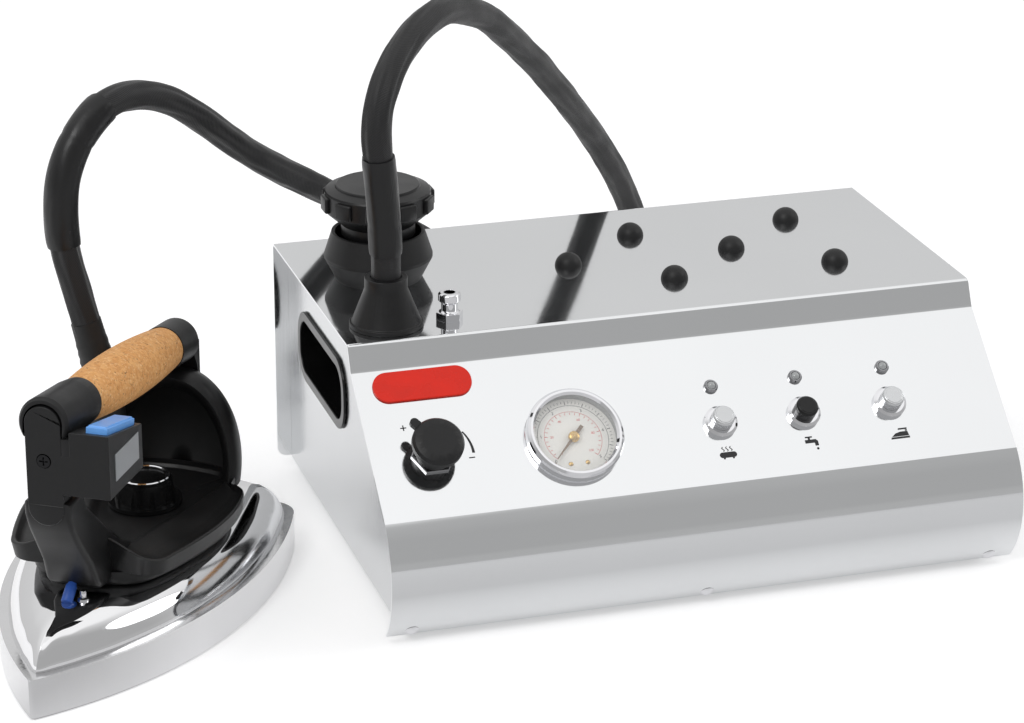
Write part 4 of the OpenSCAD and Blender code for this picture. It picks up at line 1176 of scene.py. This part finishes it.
class BuildRegulator(bpy.types.Operator):
    """Regulator knob, its nut and the marks printed round it"""

    bl_idname = "ironing.regulator"
    bl_label = "Regulator"

    def execute(self, context):
        dress("matte_plastic", "regulator_knob")
        ease_edges(0.7, "regulator_knob", segments=3, angle=25)
        dress("brass", "regulator_valve")
        nut = lathe([(10.6, 0.05), (12.0, 0.05), (12.0, 1.3), (11.5, 1.6), (10.6, 1.6), (10.6, 0.05)], 6)
        finished(nut, "regulator_nut", on_panel(KNOB_AT), "base", "ring_chrome", (), 30)
        x, y = KNOB_AT
        plus = joined(
            plate([(-1.6, -0.3), (1.6, -0.3), (1.6, 0.3), (-1.6, 0.3)], *PANEL_INK),
            plate([(-0.3, -1.6), (0.3, -1.6), (0.3, 1.6), (-0.3, 1.6)], *PANEL_INK),
        )
        minus = plate([(-1.6, -0.3), (1.6, -0.3), (1.6, 0.3), (-1.6, 0.3)], *PANEL_INK)
        outer, inner = arc((x, y), 21.4, 32, -4, 18), arc((x, y), 20.6, -4, 32, 18)
        swept = [
            (x + (px - x) * (1 + 0.035 * i / 18), y + (py - y) * (1 + 0.035 * i / 18))
            for i, (px, py) in enumerate(outer)
        ]
        marks = joined(
            (plus, Matrix.Translation((-154.2, -34.5, 0))),
            (minus, Matrix.Translation((-121.9, -55.5, 0))),
            plate(swept + inner, *PANEL_INK),
        )
        finished(marks, "regulator_marks", PANEL, "base", "black_print")
        return {"FINISHED"}


class BuildGauge(bpy.types.Operator):
    """Pressure gauge: chrome bezel, printed dial, needle and glass"""

    bl_idname = "ironing.gauge"
    bl_label = "Gauge"

    def execute(self, context):
        settings = context.scene.iron_controls
        dress("chrome", "gauge_bezel")
        dress("tray_steel", "gauge_case")
        dress("dial_paper", "gauge_dial")
        dress("needle_paint", "gauge_needle")
        dress("window_glass", "gauge_glass")
        at = on_panel(GAUGE_AT, -1.2)
        black, red = [], []
        for i in range(settings.ticks):
            angle = 225 - 270 * i / (settings.ticks - 1)
            long = i % 5 == 0
            black.append(self.tick(angle, 19.4 if long else 20.2, 21.4, 0.34 if long else 0.2))
            if i % 2 == 0:
                red.append(self.tick(angle, 13.6, 14.8 if i % 10 else 15.4, 0.28))
        black += [(shape, None) for shape in self.ring(18.9, 19.1)]
        red += [(shape, None) for shape in self.ring(15.3, 15.5)]
        for i in range(6):
            angle = math.radians(225 - 54 * i)
            black.append(self.number(str(i), 17.1, angle, 2.5))
            red.append(self.number(str(i * 20), 11.4, angle, 1.9))
        finished(joined(*black), "gauge_scale", at, "base", "black_print")
        finished(joined(*red), "gauge_inner_scale", at, "base", "red_print")
        hub = lathe([(0, 2.6), (1.8, 2.5), (2.7, 2.0), (3.0, 1.2), (3.0, 0.2), (0, 0.2)], 40)
        finished(hub, "gauge_hub", on_panel(GAUGE_AT, 0.0), "gauge_needle", "brass")
        screws = joined(
            *[
                (
                    lathe([(0, 0.75), (0.8, 0.62), (1.25, 0.2), (1.25, 0.0), (0, 0.0)], 28),
                    Matrix.Translation((sx, -14.5, 0.0)),
                )
                for sx in (-4.6, 4.6)
            ]
        )
        finished(screws, "gauge_dial_screws", at, "base", "brass")
        return {"FINISHED"}

    def tick(self, angle, low, high, width):
        outline = [(low, -width / 2), (high, -width / 2), (high, width / 2), (low, width / 2)]
        return plate(outline, *DIAL_INK), Matrix.Rotation(math.radians(angle), 4, "Z")

    def ring(self, low, high):
        quarters = [(225 - 90 * k, 135 - 90 * k) for k in range(3)]
        return [
            plate(arc((0, 0), high, start, end, 24) + arc((0, 0), low, end, start, 24), *DIAL_INK)
            for start, end in quarters
        ]

    def number(self, text, radius, angle, size):
        curve = bpy.data.curves.new("number", "FONT")
        curve.body = text
        curve.size = size
        curve.align_x = "CENTER"
        curve.align_y = "CENTER"
        curve.extrude = 0.03
        holder = bpy.data.objects.new("number", curve)
        bpy.context.scene.collection.objects.link(holder)
        bpy.context.view_layer.update()
        mesh = bpy.data.meshes.new_from_object(holder)
        bm = bmesh.new()
        bm.from_mesh(mesh)
        bpy.data.meshes.remove(mesh)
        bpy.data.objects.remove(holder)
        bpy.data.curves.remove(curve)
        return bm, Matrix.Translation((radius * math.cos(angle), radius * math.sin(angle), 0.05))


class BuildSwitches(bpy.types.Operator):
    """Push-buttons, signal lamps and the printed pictograms under them"""

    bl_idname = "ironing.switches"
    bl_label = "Switches and lamps"

    def execute(self, context):
        dress("chrome", "switch_bodies")
        dress("ring_chrome", "lamp_bezels")
        dress("satin_cap", "boiler_button", "iron_button")
        dress("gloss_plastic", "water_button")
        dress("lamp_lens", "lamp_lenses")
        ease_edges(0.4, "switch_bodies", "boiler_button", "water_button", "iron_button", segments=3, angle=25)
        boiler = joined(
            plate(
                arc((-3.2, -0.6), 1.6, 90, 270, 10) + arc((3.2, -0.6), 1.6, -90, 90, 10), *PANEL_INK
            ),
            plate([(-3.0, -3.0), (-2.0, -3.0), (-2.0, -2.2), (-3.0, -2.2)], *PANEL_INK),
            plate([(2.0, -3.0), (3.0, -3.0), (3.0, -2.2), (2.0, -2.2)], *PANEL_INK),
            *[(self.wisp(), Matrix.Translation((dx, 1.4, 0))) for dx in (-2.2, 0, 2.2)],
        )
        tap = joined(
            plate(
                [(-4.6, 0.2), (0.6, 0.2), (0.6, -1.6), (2.6, -1.6), (2.6, 1.0), (1.6, 2.2), (-4.6, 2.2)],
                *PANEL_INK
            ),
            plate([(-2.7, 2.2), (-1.5, 2.2), (-1.5, 3.3), (-2.7, 3.3)], *PANEL_INK),
            plate([(-4.1, 3.3), (-0.1, 3.3), (-0.1, 4.1), (-4.1, 4.1)], *PANEL_INK),
            plate(arc((1.6, -3.3), 0.7, 0, 340, 16), *PANEL_INK),
        )
        iron = joined(
            plate([(-5.6, -3.0), (5.2, -3.0), (5.2, -1.9), (-5.2, -1.9)], *PANEL_INK),
            plate([(-4.8, -1.6), (5.0, -1.6), (4.6, 1.0), (0.4, 1.0), (-2.6, 0.2)], *PANEL_INK),
            plate([(-0.6, 2.2), (4.6, 2.2), (4.8, 3.1), (-0.2, 3.1)], *PANEL_INK),
            plate([(3.4, 1.2), (4.5, 1.2), (4.6, 2.0), (3.4, 2.0)], *PANEL_INK),
        )
        marks = joined(
            (boiler, Matrix.Translation((14.7, -70.6, 0))),
            (tap, Matrix.Translation((63.0, -70.4, 0))),
            (iron, Matrix.Translation((112.0, -70.8, 0))),
        )
        finished(marks, "switch_pictograms", PANEL, "base", "black_print")
        return {"FINISHED"}

    def wisp(self):
        left = [(-0.3 + 0.5 * math.sin(k * 0.8), k * 0.35) for k in range(9)]
        right = [(0.3 + 0.5 * math.sin(k * 0.8), k * 0.35) for k in range(8, -1, -1)]
        return plate(left + right, *PANEL_INK)


class BuildInside(bpy.types.Operator):
    """Boiler, heater, valves, pipes and terminals inside the casing"""

    bl_idname = "ironing.inside"
    bl_label = "Inside parts"

    def execute(self, context):
        dress("boiler_metal", "boiler_tank")
        dress("tray_steel", "boiler_brackets")
        dress("heat_tinted", "heating_element", "iron_element", "iron_thermostat")
        dress("brass", "safety_valve")
        dress("coil_case", "pressure_switch", "solenoid_valve", "micro_switch")
        dress("copper", "steam_pipes")
        dress("terminal_plastic", "terminal_block")
        dress("screw_steel", "grip_rod")
        return {"FINISHED"}


class BuildSole(bpy.types.Operator):
    """Soleplate, its plated cover and the steam inlet"""

    bl_idname = "ironing.sole"
    bl_label = "Sole and cover"

    def execute(self, context):
        dress("sole_metal", "soleplate")
        rise = (
            (5, 22.05), (5, 23.2), (5.6, 25.4), (7.4, 29.6), (10.4, 34.2), (15, 37.9), (21, 40.2), (29, 41),
            (40, 41.1),
        )
        rows = [mirrored_loop([(*at, z) for at in self.half_outline(d)], 5) for d, z in rise]
        finished(
            skin(rows), "cover_shell", IRON, "iron", "cover_chrome", ("iron_cover",), 50,
        )
        ease_edges(1.0, "soleplate", segments=3, angle=40)
        dress("chrome", "steam_inlet")
        lead = lathe([(0, 0), (2.6, 0), (2.9, 0.5), (2.9, 9), (2.2, 10.4), (2.0, 15), (0, 15)], 32)
        finished(
            lead, "lead_sleeve",
            IRON @ Matrix.Translation((50.5, 0.5, 41.2)) @ Matrix.Rotation(math.radians(52), 4, "Y"),
            "iron", "lead_sleeve",
        )
        post = lathe([(0, 0), (3.0, 0), (3.0, 1.2), (1.7, 1.8), (1.7, 4.4), (1.3, 5.0), (0, 5.0)], 32)
        finished(
            post, "cover_post", IRON @ Matrix.Translation((57, -6, 40.6)), "iron", "chrome",
        )
        return {"FINISHED"}

    def half_outline(self, inset):
        """Right half of the cover's plan, from the nose to the middle of the heel."""
        radius, centre, offset, heel, corner = 237.95 - inset, 165.0, 171.45, 237 - 0.75 * inset, 13.0
        nose = centre - math.sqrt(radius ** 2 - offset ** 2)
        shares = (0.02, 0.05, 0.1, 0.2, 0.34, 0.5, 0.66, 0.82, 0.93, 1)
        side = [nose + share * (heel - corner - nose) for share in shares]
        points = [(nose + 1.3, 0)]
        points += [(at, offset - math.sqrt(radius ** 2 - (at - centre) ** 2)) for at in side]
        edge = points[-1][1]
        points += [
            (heel - corner * 0.3, edge + corner * 0.36), (heel, edge + corner), (heel, edge * 0.4),
            (heel, 0),
        ]
        return points


class BuildShield(bpy.types.Operator):
    """Black heat shield and the block it stands on"""

    bl_idname = "ironing.shield"
    bl_label = "Heat shield"

    def execute(self, context):
        self.skirt()
        self.tray()
        self.wall()
        self.stem()
        return {"FINISHED"}

    def skirt(self):
        """Rounded black foot between the cover and the tray."""
        half = (
            (72.5, 0), (72.5, -8), (75, -20), (82, -30), (98, -38), (122, -45.5),
            (145, -49.5), (158, -48.5), (166, -43), (170, -32), (171, -16), (172, 0),
        )
        rows = [
            mirrored_loop([(117 + (x - 117) * k, y * k, z) for x, y in half], 5)
            for k, z in ((0.9, 41.2), (0.96, 41.6), (0.99, 43), (1, 45.5), (1, 49.4), (0.9, 49.6))
        ]
        finished(
            skin(rows), "shield_skirt", IRON, "iron", "matte_plastic", ("shield_block",),
            40,
        )

    def tray(self):
        """Dished tray: a sunken floor, a broad ledge round it and a thick rolled rim."""
        rim = (
            (73, 0, 68), (74.5, -12, 68), (74, -24, 63), (73.6, -33, 59.5), (78, -40.5, 58), (88, -44.6, 58),
            (103, -49, 58), (122, -53.2, 58), (142, -54.9, 58), (160, -53.4, 58), (170, -50.4, 58),
            (176, -45, 57.5), (181, -40, 56), (196, -37, 54), (206, -34, 53), (214, -20, 52.5),
            (216.5, 0, 52.5),
        )
        crease = (
            (104, 0), (105, -4), (106, -8), (107, -10.6), (109.5, -12.6), (115, -14.2), (126, -17),
            (140, -20.5),
            (156, -24.4), (172, -28.2), (181, -30.4), (188, -31.8), (193.5, -31), (197.5, -28.6),
            (201, -23.5),
            (203, -12), (204, 0),
        )
        outer = mirrored_loop(rim, 6)
        inner = mirrored_loop([(*at, 50.5) for at in crease], 6)

        def row(share, drop=None, level=None):
            """Between the crease (0) and the rim (1), at a level or so far under the rim."""
            return [
                Vector(
                    (
                        i.x + (o.x - i.x) * share, i.y + (o.y - i.y) * share,
                        o.z - drop if level is None else level,
                    )
                )
                for i, o in zip(inner, outer)
            ]

        middle = [Vector((155 + (p.x - 155) * 0.3, p.y * 0.3, 50.4)) for p in inner]
        beneath = [Vector((155 + (p.x - 155) * 0.3, p.y * 0.3, 47.6)) for p in inner]
        rows = [
            middle, row(-0.06, level=50.5), row(0.0, level=50.9), row(0.05, level=52.2),
            row(0.12, level=52.8),
            row(0.5, level=53.0), row(0.84, drop=4.2), row(0.91, drop=2.6), row(0.945, drop=0.5),
            row(0.965, drop=0.0),
            row(0.99, drop=0.1), row(1.01, drop=0.7), row(1.0, drop=2.6), row(0.97, level=49.4),
            row(0.9, level=48.2),
            row(0.5, level=47.8), beneath,
        ]
        finished(
            skin(rows), "shield_tray", IRON, "iron", "black_plastic", ("heat_shield",), 50,
        )

    def wall(self):
        """Arched rear wall with a deep rounded flange round it."""
        steps = 48

        def ring(scale, forward):
            points = []
            for i in range(steps + 1):
                turn = math.pi * i / steps
                y, z = 36.5 * scale * math.cos(turn), 49 + 57.5 * scale * math.sin(turn)
                back = 148 + math.sqrt(max(1.0, 71 ** 2 - y * y - (z - 78) ** 2))
                points.append(Vector((back - forward, y, z)))
            return points

        rows = [
            ring(0.88, 14.5), ring(0.97, 14), ring(1, 11.5), ring(1, 5), ring(0.985, 1.2), ring(0.95, 0),
            ring(0.8, 0),
        ]
        rows += [ring(k / 10, 0) for k in (6, 4, 2, 0)]
        bm = skin(rows, wrap=False)
        bmesh.ops.remove_doubles(bm, verts=bm.verts[:], dist=0.01)
        wall = finished(bm, "shield_wall", IRON, "iron", "black_plastic", (), 45)
        shell = wall.modifiers.new("shell", "SOLIDIFY")
        shell.thickness = 0.003
        shell.offset = 0.0
        shell.use_even_offset = True

    def stem(self):
        """Front stem: a leaning web that widens into the tray."""
        outline = (
            (31, 104), (31, 96), (35, 87), (43, 75), (52, 62), (58, 49), (62, 45.5), (70, 44.6), (96, 47),
            (108, 51),
            (94, 59), (78, 72), (63, 86), (53, 95), (50.5, 104),
        )
        web = plate(outline, -12.2, 12.2)
        round_edges(web, [e for e in web.edges if len({v.co.z for v in e.verts}) == 1], 2.6, 4)
        bmesh.ops.rotate(web, verts=web.verts, matrix=Matrix.Rotation(math.radians(90), 3, "X"))
        for vert in web.verts:
            vert.co.y *= 1 + 0.2 * max(0.0, (92 - vert.co.z) / 46) ** 1.5
        finished(web, "stem_web", IRON, "iron", "black_plastic", ("grip_stem",), 35)


class BuildGrip(bpy.types.Operator):
    """Cork grip and its two end caps"""

    bl_idname = "ironing.grip"
    bl_label = "Grip"

    def execute(self, context):
        dress("cork", "cork_grip")
        dress("matte_plastic", "grip_cap_front", "grip_cap_rear")
        ease_edges(0.8, "grip_cap_front", "grip_cap_rear", segments=3, angle=30)
        return {"FINISHED"}


class BuildSwitchBox(bpy.types.Operator):
    """Switch box under the grip, with its button, label and screw"""

    bl_idname = "ironing.switch_box"
    bl_label = "Switch box"

    def execute(self, context):
        dress("black_plastic", "switch_housing")
        ease_edges(0.5, "switch_housing", segments=2, angle=50)
        dress("blue_plastic", "steam_button")
        ease_edges(0.7, "steam_button", segments=3, angle=30)
        dress("label_foil", "label_plate")
        dress("screw_black", "iron_screw")
        web = block((15.2, 4.6, 10.4), (38.3, -11.4, 133.4), 0.5, 2)
        finished(web, "switch_web", IRON, "iron", "black_plastic")
        end = plate([(9.4, 103), *arc((0, 101.2), 9.4, 0, -180, 24), (-9.4, 103)], 0, 6)
        round_edges(end, [e for e in end.edges if all(v.co.z < 0.1 for v in e.verts)], 1.0, 3)
        across = Matrix(((0, 0, 1, 30.1), (1, 0, 0, 0), (0, 1, 0, 0), (0, 0, 0, 1)))
        finished(end, "column_end", IRON @ across, "iron", "black_plastic")
        return {"FINISHED"}


class BuildThermostat(bpy.types.Operator):
    """Scalloped thermostat dial with its chrome ring"""

    bl_idname = "ironing.thermostat"
    bl_label = "Thermostat"

    def execute(self, context):
        dress("gloss_plastic", "thermostat_dial")
        ease_edges(0.5, "thermostat_dial", segments=3, angle=30)
        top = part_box("thermostat_dial")[1].z * 1000
        ring = lathe(
            [(11.5, -0.3), (13.5, -0.3), (13.5, 0.2), (13.0, 0.6), (12.0, 0.6), (11.5, 0.2), (11.5, -0.3)], 72
        )
        place = centred_on("thermostat_dial", top)
        finished(ring, "thermostat_ring", place, "thermostat_dial", "chrome")
        return {"FINISHED"}


class IroningPanel(bpy.types.Panel):
    """Lists the builders of the steam generator iron"""

    bl_idname = "VIEW3D_PT_ironing"
    bl_label = "Steam generator iron"
    bl_space_type = "VIEW_3D"
    bl_region_type = "UI"
    bl_category = "Ironing"

    def draw(self, context):
        for builder in BUILDERS:
            self.layout.operator(builder.bl_idname)
        for group in ("iron_stage", "iron_hose", "iron_casing", "iron_controls", "iron_tool"):
            settings = getattr(context.scene, group)
            box = self.layout.box()
            for name in settings.__annotations__:
                box.prop(settings, name)


SETTINGS = (
    ("iron_stage", StageSettings),
    ("iron_hose", HoseSettings),
    ("iron_casing", CasingSettings),
    ("iron_controls", ControlSettings),
    ("iron_tool", IronSettings),
)
BUILDERS = (
    BuildStage,
    BuildHose,
    BuildCasing,
    BuildBadge,
    BuildFiller,
    BuildTopFittings,
    BuildRegulator,
    BuildGauge,
    BuildSwitches,
    BuildInside,
    BuildSole,
    BuildShield,
    BuildGrip,
    BuildSwitchBox,
    BuildThermostat,
)


def register():
    for _, group in SETTINGS:
        bpy.utils.register_class(group)
    for name, group in SETTINGS:
        setattr(bpy.types.Scene, name, PointerProperty(type=group))
    for builder in BUILDERS:
        bpy.utils.register_class(builder)
    bpy.utils.register_class(IroningPanel)


def unregister():
    bpy.utils.unregister_class(IroningPanel)
    for builder in reversed(BUILDERS):
        bpy.utils.unregister_class(builder)
    for name, group in reversed(SETTINGS):
        delattr(bpy.types.Scene, name)
        bpy.utils.unregister_class(group)


def main():
    """Builds everything in order."""
    register()
    for builder in BUILDERS:
        group, action = builder.bl_idname.split(".")
        getattr(getattr(bpy.ops, group), action)()


if __name__ == "__main__":
    main()
